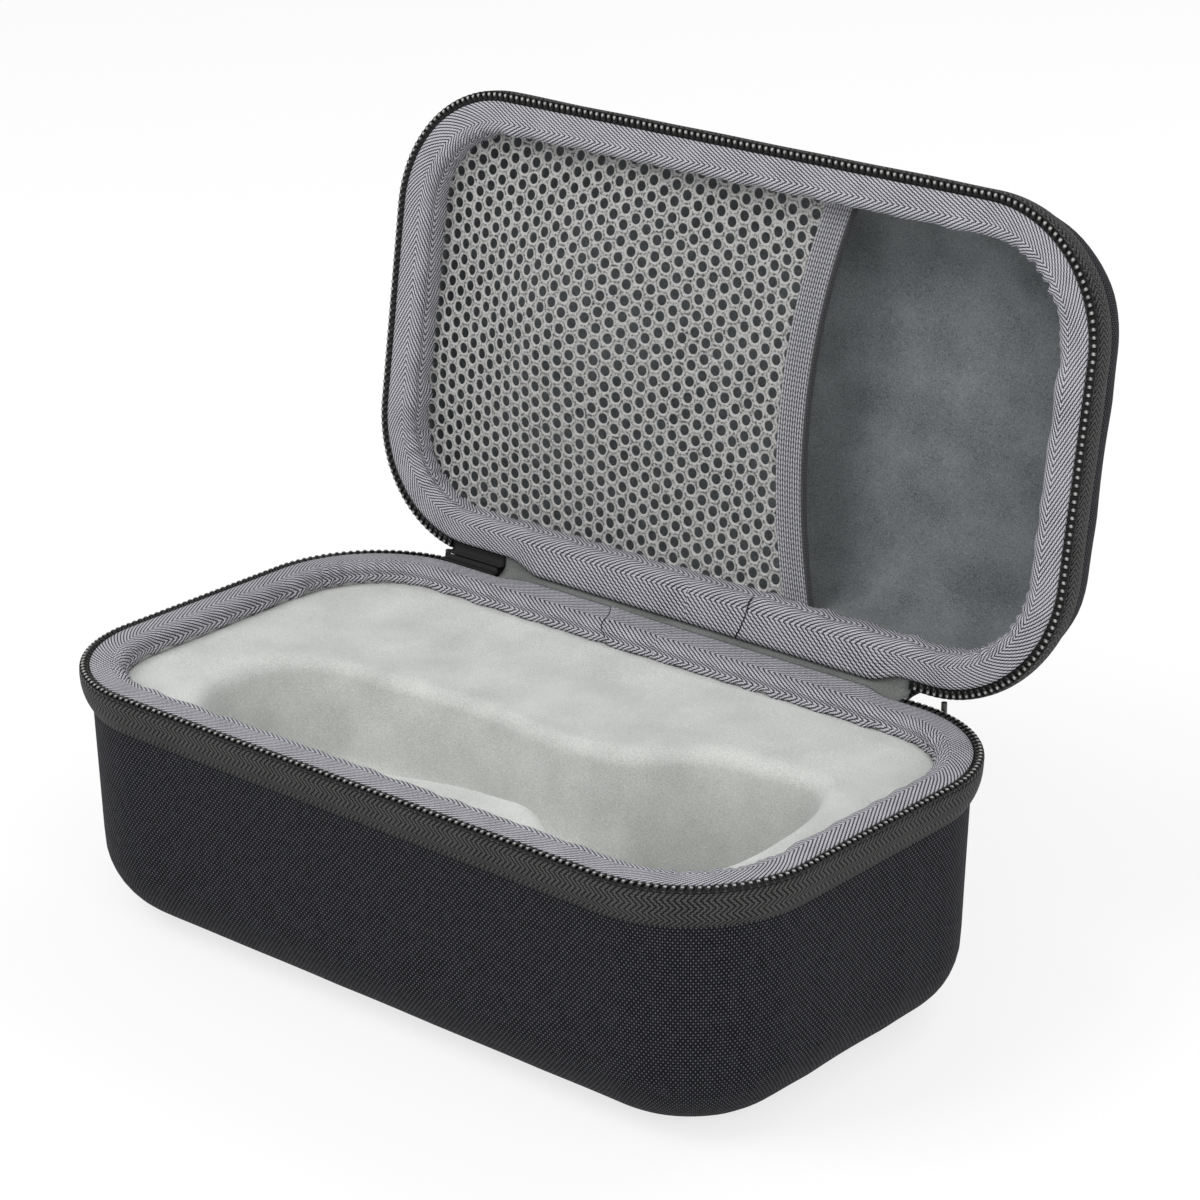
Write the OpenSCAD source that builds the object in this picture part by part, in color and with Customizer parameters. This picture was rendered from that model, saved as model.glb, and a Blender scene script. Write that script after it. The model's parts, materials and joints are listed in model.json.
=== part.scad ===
// Hard case: two cups of moulded foam board, zipped on three sides and hinged by a fabric strip.
// Millimetres. X is the length, the hinge runs along the back at +Y, and the underside is Z = 0.
// Each cup is one half section, swept round the rounded rectangle of the rim.

/* [Rim] */
// Length of the case over the zip tape, at the rim
rim_len = 228; // [210:1:260]
// Width of the case over the zip tape, at the rim
rim_wid = 127; // [120:1:150]
// Corner radius of the case over the zip tape, at the rim
rim_r = 36; // [33:1:44]
// Distance from the zip tape's outer edge in to the skin of the wall
skin_in = 2.8; // [2.4:0.1:3.6]
// Distance from the parting plane to each half's rim binding
rim_gap = 0.4; // [0.3:0.05:0.8]

/* [Base] */
// Height of the base, from the underside to the parting plane
base_h = 68; // [62:1:90]
// How far each wall of the base leans in between the rim and the floor
base_draft = 1.8; // [0.6:0.1:3]
// Outer radius between the wall and the floor of the base
base_fillet = 20; // [14:1:23]

/* [Lid] */
// Height of the lid, from the parting plane to its top
lid_h = 29.5; // [27:0.5:45]
// How far each wall of the lid leans in between the rim and the top
lid_draft = 1.4; // [0.4:0.1:2.4]
// Outer radius between the wall and the top of the lid
lid_fillet = 20; // [14:1:22]
// Angle between the lid and the base in the resting pose
open_angle = 99; // [60:1:130]

/* [Walls] */
// Thickness of the woven outer cover
cover_t = 0.8; // [0.6:0.1:1.2]
// Thickness of the moulded foam board
board_t = 6; // [4:0.5:7]
// Thickness of the plush lining
lining_t = 1; // [0.6:0.1:1.6]

/* [Binding] */
// Thickness of the binding tape over the rims
bind_t = 1; // [0.8:0.1:1.4]
// Reach of the binding down the inner wall of the base
bind_drop_base = 5; // [3:0.5:8]
// Reach of the binding down the inner wall of the lid
bind_drop_lid = 7; // [4:0.5:9]
// Radius of the binding's rounded inner edge
bind_round = 2.4; // [1.6:0.1:2.8]

/* [Zip] */
// Height of the zip tape band on the outside of each half
tape_h = 9.5; // [8:0.5:12]
// Thickness of the zip tape at its lower edge
tape_t = 0.9; // [0.7:0.1:1.2]
// Pitch of the zip's teeth
tooth_pitch = 2; // [2:0.5:4]
// Width of one tooth along the zip
tooth_w = 0.7; // [0.5:0.05:0.8]
// Distance that a tooth reaches past the parting plane, into the other half's row
tooth_reach = 0.7; // [0.4:0.05:0.8]
// Depth below the parting plane of the cord that carries the teeth
cord_z = 1; // [0.9:0.05:1.2]
// Height of the cord that carries the teeth
cord_h = 0.6; // [0.5:0.05:0.8]
// Distance from the right rear corner's start in to the hinge strip, where the zip begins
hinge_in_right = 6; // [4:1:18]
// Distance from the left rear corner's start in to the hinge strip
hinge_in_left = 14; // [8:1:22]
// Length of the bare tape end between the hinge strip and the left end of the teeth
tail_len = 19; // [10:1:22]
// Distance of the hinge line outside the rim
hinge_out = 0.9; // [0.7:0.1:1.5]

/* [Nest tray] */
// Thickness of the moulded tray
tray_t = 3.5; // [2.5:0.5:4]
// Distance from the tray's left edge in to the nest
nest_in_left = 25; // [20:1:34]
// Distance from the tray's right edge in to the nest
nest_in_right = 13.5; // [11:0.5:20]
// Distance of the nest's left end in front of the middle of the case
nest_front = 24; // [18:1:26]
// Half width of the nest at the handle
nest_half = 25; // [20:0.5:28]
// Half width of the nest at the neck
neck_half = 17.5; // [14:0.5:20]
// Half width of the nest at the head
head_half = 32; // [28:0.5:33]
// Depth of the nest at the handle; at the head its floor rests on the base's floor
nest_depth = 32; // [26:1:36]
// Slope of the nest's wall, as its set-in between lip and floor
nest_slope = 2; // [1:0.5:3]
// Turn of the nest in the tray
nest_turn = 4.7; // [0:0.1:6]
// Radius of the tray's rolled lip round the nest
lip_r = 5; // [4.5:0.5:6]
// Radius between the nest's wall and floor
nest_fillet = 7; // [5:0.5:8]

/* [Pocket] */
// Thickness of the pocket's mesh
mesh_t = 0.8; // [0.6:0.1:1.2]
// Pitch of the mesh's holes in the solid net
mesh_pitch = 7.4; // [7:0.2:10]
// Width of one hole of the net
mesh_hole = 4.4; // [3:0.2:5]
// Distance of the pocket's open edge right of the middle, at its ends
pocket_x = 26; // [10:1:50]
// How far the middle of the open edge bows to the left
pocket_bow = 8; // [2:0.5:12]
// Width of the knitted elastic along the open edge
elastic_w = 8; // [5:0.5:10]
// Thickness of the knitted elastic
elastic_t = 1.6; // [1.2:0.1:2.2]
// Width of the dark piping beside the elastic
piping_w = 1.6; // [1.2:0.1:2]

/* [Sliders] */
// Length of a slider along the zip
slider_len = 13; // [11:0.5:15]
// Height of a slider's plate
slider_w = 8.4; // [7:0.2:9]
// Thickness of a slider's plate
slider_t = 1.3; // [1:0.1:1.5]
// Radius of the bar that carries the pull
bar_r = 0.6; // [0.5:0.05:0.8]
// Length of a pull below its eye
pull_len = 24; // [16:1:30]
// Width of a pull at its grip
pull_w = 7; // [5:0.5:8]
// Thickness of a pull
pull_t = 1.2; // [1:0.1:1.6]

/* [Hidden] */

// Steps along a quarter round of a moulded edge
arc_steps = 9;
round_fn = 96;
// Running clearance between pieces that move past each other, and between soft pieces
fit = 0.3;

wall_t = cover_t + board_t + lining_t;
corner_x = rim_len / 2 - rim_r;
corner_y = rim_wid / 2 - rim_r;
hinge_right = corner_x - hinge_in_right;
hinge_left = corner_x - hinge_in_left;
hinge_y = rim_wid / 2 + hinge_out;
hinge_z = base_h;
// Depth of the wall's raw edge below the parting plane, under the binding
edge_z = rim_gap + bind_t;
// Depth of the tape's upper edge, where the cord of the teeth is sewn on
tape_z = cord_z + cord_h;
// Insets of the row of teeth from the rim
teeth_out = 0.3;
// Laps of the tape over the row of teeth, and of the row over the cover
tape_lap = 0.1;
teeth_in = skin_in - tape_lap;
// Share of the tape's thickness that stands square at its lower edge
tape_square = 0.6;
teeth_mid = (teeth_out + teeth_in) / 2;

// Angle of a drafted wall
function lean(h, draft) = atan(draft / h);

// Distance from a corner's axis to the centre of the fillet between wall and floor
function fillet_x(h, f, draft) =
    rim_r - skin_in - (f + (h - f) * sin(lean(h, draft))) / cos(lean(h, draft));

// Distance from a corner's axis to the wall at height z, on the face that lies t inside the skin
function wall_x(h, f, draft, t, z) =
    let (a = lean(h, draft))
    fillet_x(h, f, draft) + (f - t) * cos(a) + (z - f + (f - t) * sin(a)) * tan(a);

// Half section of a cup's face that lies t inside the skin, from a corner's axis up to height top
function cup_face(h, f, draft, t, top) =
    let (a = lean(h, draft), cx = fillet_x(h, f, draft))
    concat(
        [[0, t]],
        [for (i = [0:arc_steps])
            let (g = -90 + (90 - a) * i / arc_steps)
            [cx + (f - t) * cos(g), f + (f - t) * sin(g)]],
        [[wall_x(h, f, draft, t, top), top]]);

function reversed(points) = [for (i = [len(points) - 1:-1:0]) points[i]];

// Carries a flat section round the rounded rectangle of the rim
// The section's x is the distance from a corner's axis, and its y is the height
module round_the_rim() {
    for (k = [0:3]) {
        side_x = (k == 0 || k == 3) ? corner_x : -corner_x;
        side_y = (k < 2) ? corner_y : -corner_y;
        translate([side_x, side_y, 0])
            rotate([0, 0, 90 * k])
                rotate_extrude(angle = 90, $fn = round_fn)
                    children();
    }
    for (k = [0:3]) {
        reach = (k % 2 == 0) ? corner_x : corner_y;
        run = (k % 2 == 0) ? corner_y : corner_x;
        rotate([0, 0, 90 * k])
            translate([reach, 0, 0])
                rotate([90, 0, 0])
                    linear_extrude(height = 2 * run, center = true)
                        children();
    }
}

// One layer of a cup that opens upwards, between t_out and t_in inside its skin
module cup_layer(h, f, draft, t_out, t_in) {
    top = h - edge_z;
    round_the_rim()
        polygon(concat(
            cup_face(h, f, draft, t_out, top),
            reversed(cup_face(h, f, draft, t_in, top))));
    translate([-corner_x, -corner_y, t_out])
        cube([2 * corner_x, 2 * corner_y, t_in - t_out]);
}

// Binding over a rim: flat on the wall's edge, rounded at the inner edge, then down the wall
module binding_section(h, f, draft, drop) {
    top = h - rim_gap;
    low = top - drop;
    inner = wall_x(h, f, draft, wall_t, top) - bind_t;
    polygon(concat(
        [[rim_r - skin_in, top - bind_t], [rim_r - skin_in, top]],
        [for (i = [0:arc_steps])
            let (g = 90 + 90 * i / arc_steps)
            [inner + bind_round * (1 + cos(g)), top - bind_round * (1 - sin(g))]],
        [[wall_x(h, f, draft, wall_t, low) - bind_t, low],
         [wall_x(h, f, draft, wall_t, low), low],
         [wall_x(h, f, draft, wall_t, top - bind_t), top - bind_t]]));
}

// Zip tape on the outside of a wall: flush at its far edge, standing proud at the rim
module tape_section(h, f, draft) {
    top = h - tape_z;
    low = top - tape_h;
    polygon([
        [rim_r - teeth_out + tape_lap, top],
        [wall_x(h, f, draft, 0, top), top],
        [wall_x(h, f, draft, 0, low), low],
        [wall_x(h, f, draft, 0, low) + tape_t * tape_square, low],
        [wall_x(h, f, draft, 0, low) + tape_t, low + tape_t * tape_square]]);
}

// Space at the back between the zip's two ends
module hinge_gap(left, right) {
    translate([-left, rim_wid / 2 - rim_r / 2, 0])
        cube([left + right, rim_r, base_h + lid_h]);
}

module zip_tape(h, f, draft) {
    difference() {
        round_the_rim() tape_section(h, f, draft);
        hinge_gap(hinge_left, hinge_right);
    }
}

// Lengths of the nine stretches of the zip, from its right end round the front to its left end
teeth_r = rim_r - teeth_mid;
quarter = teeth_r * PI / 2;
zip_legs = [corner_x - hinge_right, quarter, 2 * corner_y, quarter, 2 * corner_x,
            quarter, 2 * corner_y, quarter, corner_x - hinge_left];
function run_before(k) = k == 0 ? 0 : zip_legs[k - 1] + run_before(k - 1);

// Place and outward direction at distance s along the zip: [x, y, angle]
function zip_at(s, k = 0) =
    (k < 8 && s > run_before(k + 1)) ? zip_at(s, k + 1) :
    let (u = s - run_before(k), turn = 90 - 90 * floor(k / 2))
    (k % 2 == 1)
        ? let (a = turn - u / teeth_r * 180 / PI,
               cx = (k < 5) ? corner_x : -corner_x,
               cy = (k == 1 || k == 7) ? corner_y : -corner_y)
          [cx + teeth_r * cos(a), cy + teeth_r * sin(a), a]
        : k == 0 ? [hinge_right + u, corner_y + teeth_r, 90]
        : k == 2 ? [corner_x + teeth_r, corner_y - u, 0]
        : k == 4 ? [corner_x - u, -corner_y - teeth_r, -90]
        : k == 6 ? [-corner_x - teeth_r, -corner_y + u, 180]
        : [-corner_x + u, corner_y + teeth_r, 90];

// Length of the row of teeth, which stops short of the tape's bare left end
row_len = run_before(8) + zip_legs[8] - tail_len;

// Row of teeth on its cord, with its teeth at every pitch from the first place
module teeth_row(h, first) {
    tooth_n = floor((row_len - first) / tooth_pitch);
    difference() {
        round_the_rim()
            translate([rim_r - teeth_in, h - tape_z])
                square([teeth_in - teeth_out, cord_h]);
        hinge_gap(hinge_left + tail_len, hinge_right);
    }
    for (i = [0:tooth_n]) {
        at = zip_at(first + i * tooth_pitch);
        translate([at[0], at[1], h - cord_z])
            rotate([0, 0, at[2]])
                translate([(teeth_out - teeth_in) / 2, -tooth_w / 2, 0])
                    cube([teeth_in - teeth_out, tooth_w, cord_z + tooth_reach]);
    }
}

// Bare end of the tape, folded over between the last tooth and the hinge strip
module tape_end(h) {
    intersection() {
        round_the_rim()
            translate([rim_r - teeth_in, h - tape_z])
                square([teeth_in - teeth_out, tape_z - rim_gap]);
        translate([-hinge_left - tail_len + fit, 0, 0])
            cube([tail_len - 2 * fit, rim_wid, base_h + lid_h]);
    }
}

// Leaf of the outer hinge strip, over the wall of one half
module strip_leaf(h, f, draft) {
    translate([-hinge_left + fit / 2, corner_y, 0])
        rotate([90, 0, 90])
            linear_extrude(height = hinge_left + hinge_right - fit)
                tape_section(h, f, draft);
}

// Leaf of the inner hinge liner, on the edge of one half
module liner_leaf(h) {
    translate([-hinge_left + fit / 2, corner_y, 0])
        rotate([90, 0, 90])
            linear_extrude(height = hinge_left + hinge_right - fit)
                translate([rim_r - teeth_in, h - tape_z])
                    square([teeth_in - teeth_out, tape_z - rim_gap]);
}

// Turns a cup that opens upwards over, and closes it on the base
module as_closed_lid() {
    translate([0, 0, base_h + lid_h])
        mirror([0, 0, 1])
            children();
}

// Swings closed lid pieces open about the hinge line
module swung_open() {
    translate([0, hinge_y, hinge_z])
        rotate([-open_angle, 0, 0])
            translate([0, -hinge_y, -hinge_z])
                children();
}

module base_cover() {
    color("#2b2c30") cup_layer(base_h, base_fillet, base_draft, 0, cover_t);
}
module base_shell() {
    color("#1d1d1f") cup_layer(base_h, base_fillet, base_draft, cover_t, cover_t + board_t);
}
module base_lining() {
    color("#8d9490") cup_layer(base_h, base_fillet, base_draft, cover_t + board_t, wall_t);
}
module base_binding() {
    color("#8a8b92") round_the_rim() binding_section(base_h, base_fillet, base_draft, bind_drop_base);
}
module base_zip_tape() {
    color("#2e302d") zip_tape(base_h, base_fillet, base_draft);
}
module base_zip_teeth() {
    color("#101010") teeth_row(base_h, tooth_pitch / 2);
}
module base_zip_end() {
    color("#161616") tape_end(base_h);
}
module hinge_strip_base() {
    color("#2b2c30") strip_leaf(base_h, base_fillet, base_draft);
}
module hinge_liner_base() {
    color("#70726f") liner_leaf(base_h);
}

module lid_cover() {
    color("#2b2c30") swung_open() as_closed_lid() cup_layer(lid_h, lid_fillet, lid_draft, 0, cover_t);
}
module lid_shell() {
    color("#1d1d1f") swung_open() as_closed_lid()
        cup_layer(lid_h, lid_fillet, lid_draft, cover_t, cover_t + board_t);
}
module lid_lining() {
    color("#6b7377") swung_open() as_closed_lid()
        cup_layer(lid_h, lid_fillet, lid_draft, cover_t + board_t, wall_t);
}
module lid_binding() {
    color("#8a8b92") swung_open() as_closed_lid()
        round_the_rim() binding_section(lid_h, lid_fillet, lid_draft, bind_drop_lid);
}
module lid_zip_tape() {
    color("#2e302d") swung_open() as_closed_lid() zip_tape(lid_h, lid_fillet, lid_draft);
}
module lid_zip_teeth() {
    color("#101010") swung_open() as_closed_lid() teeth_row(lid_h, tooth_pitch);
}
module lid_zip_end() {
    color("#161616") swung_open() as_closed_lid() tape_end(lid_h);
}
module hinge_strip_lid() {
    color("#2b2c30") swung_open() as_closed_lid() strip_leaf(lid_h, lid_fillet, lid_draft);
}
module hinge_liner_lid() {
    color("#70726f") swung_open() as_closed_lid() liner_leaf(lid_h);
}

// Blend from 0 to 1 that starts and ends level
function ease(u) = let (c = min(max(u, 0), 1)) c * c * (3 - 2 * c);
function mix(a, b, u) = a + (b - a) * u;

// The tray seats under the base's binding and against the lining
seat_gap = 0.2;
deck_z = base_h - rim_gap - bind_drop_base - seat_gap;
tray_edge = wall_x(base_h, base_fillet, base_draft, wall_t, deck_z - tray_t) - seat_gap;
head_depth = deck_z - tray_t - wall_t - fit;

// The nest is drawn along its own line, by the distance s from its left end
nest_left = corner_x + tray_edge - nest_in_left;
nest_len = (2 * (corner_x + tray_edge) - nest_in_left - nest_in_right) / cos(nest_turn);
cap_len = 22;
end_len = 14;
end_power = 2.4;
// Where the nest narrows to the neck and widens to the head, from its right end back
neck_back = [110, 72];
head_back = [60, 34];
neck_from = nest_len - neck_back[0];
neck_to = nest_len - neck_back[1];
head_from = nest_len - head_back[0];
head_to = nest_len - head_back[1];
cap_steps = 9;
mid_steps = 20;

nest_stations = concat(
    [for (i = [0:cap_steps - 1]) cap_len * (1 - cos(90 * i / cap_steps))],
    [for (i = [0:mid_steps]) mix(cap_len, nest_len - end_len, i / mid_steps)],
    [for (i = [1:cap_steps]) nest_len - end_len + end_len * pow(sin(90 * i / cap_steps), 2 / end_power)]);
station_n = len(nest_stations);

function nest_cap(s) =
    s < cap_len ? sqrt(max(0, 1 - pow((cap_len - s) / cap_len, 2)))
    : s > nest_len - end_len
        ? pow(max(0, 1 - pow((s - nest_len + end_len) / end_len, end_power)), 1 / end_power)
        : 1;
function nest_width(s) =
    mix(mix(nest_half, neck_half, ease((s - neck_from) / (neck_to - neck_from))),
        head_half, ease((s - head_from) / (head_to - head_from))) * nest_cap(s);
function nest_floor(s) = mix(nest_depth, head_depth, ease((s - neck_to) / (head_to - neck_to)));

// Outline of the nest, clockwise from its left end: [s, width, depth there]
nest_outline = concat(
    [for (s = nest_stations) [s, nest_width(s), nest_floor(s)]],
    [for (i = [station_n - 2:-1:1])
        let (s = nest_stations[i]) [s, -nest_width(s), nest_floor(s)]]);
outline_n = len(nest_outline);

// Point i of the outline, moved outwards and lowered, in the case's own frame
function nest_point(i, out, drop) =
    let (p = nest_outline[i],
         q = nest_outline[(i + 1) % outline_n] - nest_outline[(i + outline_n - 1) % outline_n],
         length = norm([q[0], q[1]]),
         s = p[0] - out * q[1] / length,
         w = p[1] + out * q[0] / length)
    [-nest_left + s * cos(nest_turn) - w * sin(nest_turn),
     -nest_front + s * sin(nest_turn) + w * cos(nest_turn),
     deck_z - drop];

// Rings of the tray's upper face from lip to floor, and of its lower face, which lies t below
lip_steps = 3;
function tray_rings(t) = concat(
    [for (j = [0:lip_steps], i = [0:outline_n - 1])
        let (g = 90 * j / lip_steps)
        nest_point(i, lip_r - (lip_r - t) * sin(g), lip_r - (lip_r - t) * cos(g))],
    [for (j = [0:lip_steps], i = [0:outline_n - 1])
        let (g = 90 * j / lip_steps, f = nest_fillet, d = nest_outline[i][2])
        nest_point(i, (f + t) * cos(g) - nest_slope - f, d - f + (f + t) * sin(g))]);
ring_n = 2 * (lip_steps + 1);

// Outer edge of the tray, with one point for each point of the nest's outline: the nest's
// rounded ends face the tray's corners, and its long sides face the tray's long sides
function edge_point(i) =
    let (far = i < station_n, k = far ? i : outline_n - i, side = far ? 1 : -1,
         from_right = station_n - 1 - k, turn = 90 / (cap_steps - 2))
    k == 0 ? [-corner_x - tray_edge, -nest_front]
    : from_right == 0 ? [corner_x + tray_edge, -nest_front + nest_len * sin(nest_turn)]
    : k < cap_steps ? tray_corner(-1, side, (k - 1) * turn)
    : from_right < cap_steps ? tray_corner(1, side, (from_right - 1) * turn)
    : [nest_point(i, lip_r, 0)[0], side * (corner_y + tray_edge)];
function tray_corner(cx, cy, a) =
    [cx * (corner_x + tray_edge * cos(a)), cy * (corner_y + tray_edge * sin(a))];
tray_outline = [for (i = [0:outline_n - 1]) edge_point(i)];

// Triangles between two rings of the outline that start at a and b, clockwise from outside
function band_faces(a, b) =
    [for (i = [0:outline_n - 1], half = [0, 1])
        let (j = (i + 1) % outline_n)
        half == 0 ? [a + i, a + j, b + j] : [a + i, b + j, b + i]];

// Triangles across the nest's floor, between the two long sides of the ring that starts at a
function floor_faces(a) = concat(
    [for (i = [0:station_n - 3]) [a + i, a + i + 1, a + outline_n - i - 1]],
    [for (i = [1:station_n - 2]) [a + i, a + outline_n - i - 1, a + outline_n - i]]);

// Faces of the tray's upper or lower skin: the deck from edge, then the rings that start at first
function skin_faces(edge, first) = concat(
    band_faces(edge, first),
    [for (j = [0:ring_n - 2], f = band_faces(first + j * outline_n, first + (j + 1) * outline_n)) f],
    floor_faces(first + (ring_n - 1) * outline_n));

module nest_tray() {
    over = 2 * outline_n;
    under = over + ring_n * outline_n;
    color("#b4bab6")
        polyhedron(
            points = concat(
                [for (p = tray_outline) [p[0], p[1], deck_z]],
                [for (p = tray_outline) [p[0], p[1], deck_z - tray_t]],
                tray_rings(0),
                tray_rings(tray_t)),
            faces = concat(
                skin_faces(0, over),
                [for (f = skin_faces(outline_n, under)) reversed(f)],
                [for (f = band_faces(0, outline_n)) reversed(f)]),
            convexity = 6);
}

// The pocket lies across the lid, sewn in under the binding's lower edge
mesh_low = lid_h - rim_gap - bind_drop_lid - mesh_t;
sewn_gap = 0.1;
mesh_edge = wall_x(lid_h, lid_fillet, lid_draft, wall_t, mesh_low) - sewn_gap;
pocket_half = corner_y + mesh_edge;
// Left side of the pocket's open edge at y
function edge_x(y) = pocket_x - pocket_bow * (1 - pow(y / pocket_half, 2));
edge_ys = [for (i = [-10:10]) pocket_half * i / 10];

// Strip along the open edge, between two distances from its left side
module edge_strip(from, to) {
    polygon(concat(
        [for (y = edge_ys) [edge_x(y) + from, y]],
        [for (i = [len(edge_ys) - 1:-1:0]) [edge_x(edge_ys[i]) + to, edge_ys[i]]]));
}

module pocket_outline() {
    polygon(concat(
        [for (i = [0:arc_steps])
            let (a = 90 + 90 * i / arc_steps)
            [-corner_x + mesh_edge * cos(a), corner_y + mesh_edge * sin(a)]],
        [for (i = [0:arc_steps])
            let (a = 180 + 90 * i / arc_steps)
            [-corner_x + mesh_edge * cos(a), -corner_y + mesh_edge * sin(a)]],
        [for (y = edge_ys) [edge_x(y), y]]));
}

// True where a hole of the net fits inside the pocket's outline
hem_w = 2;
hem = hem_w + mesh_hole / 2;
function hole_fits(x, y) =
    abs(y) < pocket_half - bind_t - hem
    && x < edge_x(y) - hem
    && x > -corner_x - mesh_edge + bind_t + hem
    && (x > -corner_x || abs(y) < corner_y
        || norm([x + corner_x, abs(y) - corner_y]) < mesh_edge - bind_t - hem);

module pocket_mesh() {
    column = mesh_pitch * sqrt(3) / 2;
    columns = ceil(rim_len / column / 2);
    rows = ceil(rim_wid / mesh_pitch / 2);
    color("#b9b8ae") swung_open() as_closed_lid()
        translate([0, 0, mesh_low])
            linear_extrude(height = mesh_t)
                difference() {
                    pocket_outline();
                    for (i = [-columns:columns], j = [-rows:rows]) {
                        x = i * column;
                        y = (j + (i % 2 == 0 ? 0 : 0.5)) * mesh_pitch;
                        if (hole_fits(x, y))
                            translate([x, y])
                                circle(d = mesh_hole, $fn = 6);
                    }
                }
}

module pocket_elastic() {
    color("#7c7e84") swung_open() as_closed_lid()
        translate([0, 0, mesh_low + mesh_t - elastic_t])
            linear_extrude(height = elastic_t)
                edge_strip(0, elastic_w);
}

module pocket_piping() {
    color("#2a2b2e") swung_open() as_closed_lid()
        translate([0, 0, mesh_low + mesh_t - elastic_t])
            linear_extrude(height = elastic_t)
                edge_strip(elastic_w, elastic_w + piping_w);
}

// Slope of the tape band's outside, on which a slider lies
band_top = [rim_r - teeth_out + tape_lap, base_h - tape_z];
band_foot = band_top[1] - tape_h;
band_low = [wall_x(base_h, base_fillet, base_draft, 0, band_foot) + tape_t, band_foot];
band_lean = atan((band_top[0] - band_low[0]) / (band_top[1] - band_low[1]));
bar_out = 2.1;
eye_r = bar_r + fit;
// The pull's knuckle turns on the bar, clear of the plate
knuckle_gap = 0.4;
knuckle_r = bar_out - knuckle_gap;
post_x = 3.2;
post_t = 1.1;
// Depth that a slider's posts are rooted in its plate
root = 0.1;
// The nose stands at the slider's mouth, on the side of the hinge
nose_r = 0.75;
nose_x = 5.6;
nose_rise = 1;
nose_drop = slider_w / 3;

// Places a slider's piece on the band at a corner's start, its x pointing away from the hinge
module on_the_band(side) {
    mirror([side < 0 ? 1 : 0, 0, 0])
        translate([corner_x, corner_y + band_top[0], band_top[1]])
            children();
}

// Rounded plate, wider at its mouth than at its tail: x along the zip, y across it
module slider_plate() {
    round_power = 0.6;
    mouth_flare = 0.14;
    polygon([for (a = [0:12:348])
        let (u = sign(cos(a)) * pow(abs(cos(a)), round_power),
             v = sign(sin(a)) * pow(abs(sin(a)), round_power))
        [slider_len / 2 * u, slider_w / 2 * v * (1 - mouth_flare + mouth_flare * u)]]);
}

module slider(side) {
    plate_y = fit + slider_t;
    color("#3a3a3c") on_the_band(side) {
        rotate([-band_lean, 0, 0]) {
            translate([0, plate_y, -slider_w / 2])
                rotate([90, 0, 0])
                    linear_extrude(height = slider_t)
                        slider_plate();
            for (x = [-post_x, post_x])
                translate([x - post_t / 2, plate_y - root, -slider_w / 2 - bar_r])
                    cube([post_t, bar_out + bar_r + root, 2 * bar_r]);
            translate([-post_x, plate_y + bar_out, -slider_w / 2])
                rotate([0, 90, 0])
                    cylinder(h = 2 * post_x, r = bar_r, $fn = 32);
        }
        translate([nose_x, hinge_y - corner_y - band_top[0], -nose_drop])
            cylinder(h = nose_drop + tape_z + nose_rise, r = nose_r, $fn = 32);
    }
}

// Place of the bar's middle, from the point where the slider is set
bar_at = [0,
          (fit + slider_t + bar_out) * cos(band_lean) - slider_w / 2 * sin(band_lean),
          -(fit + slider_t + bar_out) * sin(band_lean) - slider_w / 2 * cos(band_lean)];

module pull(side) {
    eye_w = 2 * (post_x - post_t / 2 - fit);
    grip_from = 2;
    grip_to = 9;
    tip_len = 3;
    side_len = pull_len - tip_len;
    function half_w(z) = mix(eye_w, pull_w, ease((z - grip_from) / (grip_to - grip_from))) / 2;
    color("#2f2f31") on_the_band(side) translate(bar_at) {
        difference() {
            union() {
                rotate([0, 90, 0])
                    cylinder(h = eye_w, r = knuckle_r, center = true, $fn = 32);
                translate([0, pull_t / 2, 0])
                    rotate([90, 0, 0])
                        linear_extrude(height = pull_t)
                            polygon(concat(
                                [for (z = [0:1:side_len]) [half_w(z), -z]],
                                [for (a = [0:20:180])
                                    [pull_w / 2 * cos(a), -side_len - tip_len * sin(a)]],
                                [for (z = [side_len:-1:0]) [-half_w(z), -z]]));
            }
            rotate([0, 90, 0])
                cylinder(h = 2 * eye_w, r = eye_r, center = true, $fn = 32);
        }
    }
}

module slider_left() { slider(-1); }
module pull_left() { pull(-1); }
module slider_right() { slider(1); }
module pull_right() { pull(1); }

base_cover();
base_shell();
base_lining();
nest_tray();
base_binding();
base_zip_tape();
base_zip_teeth();
base_zip_end();
hinge_strip_base();
hinge_liner_base();
lid_cover();
lid_shell();
lid_lining();
lid_binding();
lid_zip_tape();
lid_zip_teeth();
lid_zip_end();
hinge_strip_lid();
hinge_liner_lid();
pocket_mesh();
pocket_elastic();
pocket_piping();
slider_left();
pull_left();
slider_right();
pull_right();
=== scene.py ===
# %% [markdown]
# This lesson dresses a zipped hard case in fabric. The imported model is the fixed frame: it holds
# every piece at its place, and the looks are built round it without moving anything.

# %% Load the frame
import json
import math
import bpy
import numpy as np
from mathutils import Matrix, Vector

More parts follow.
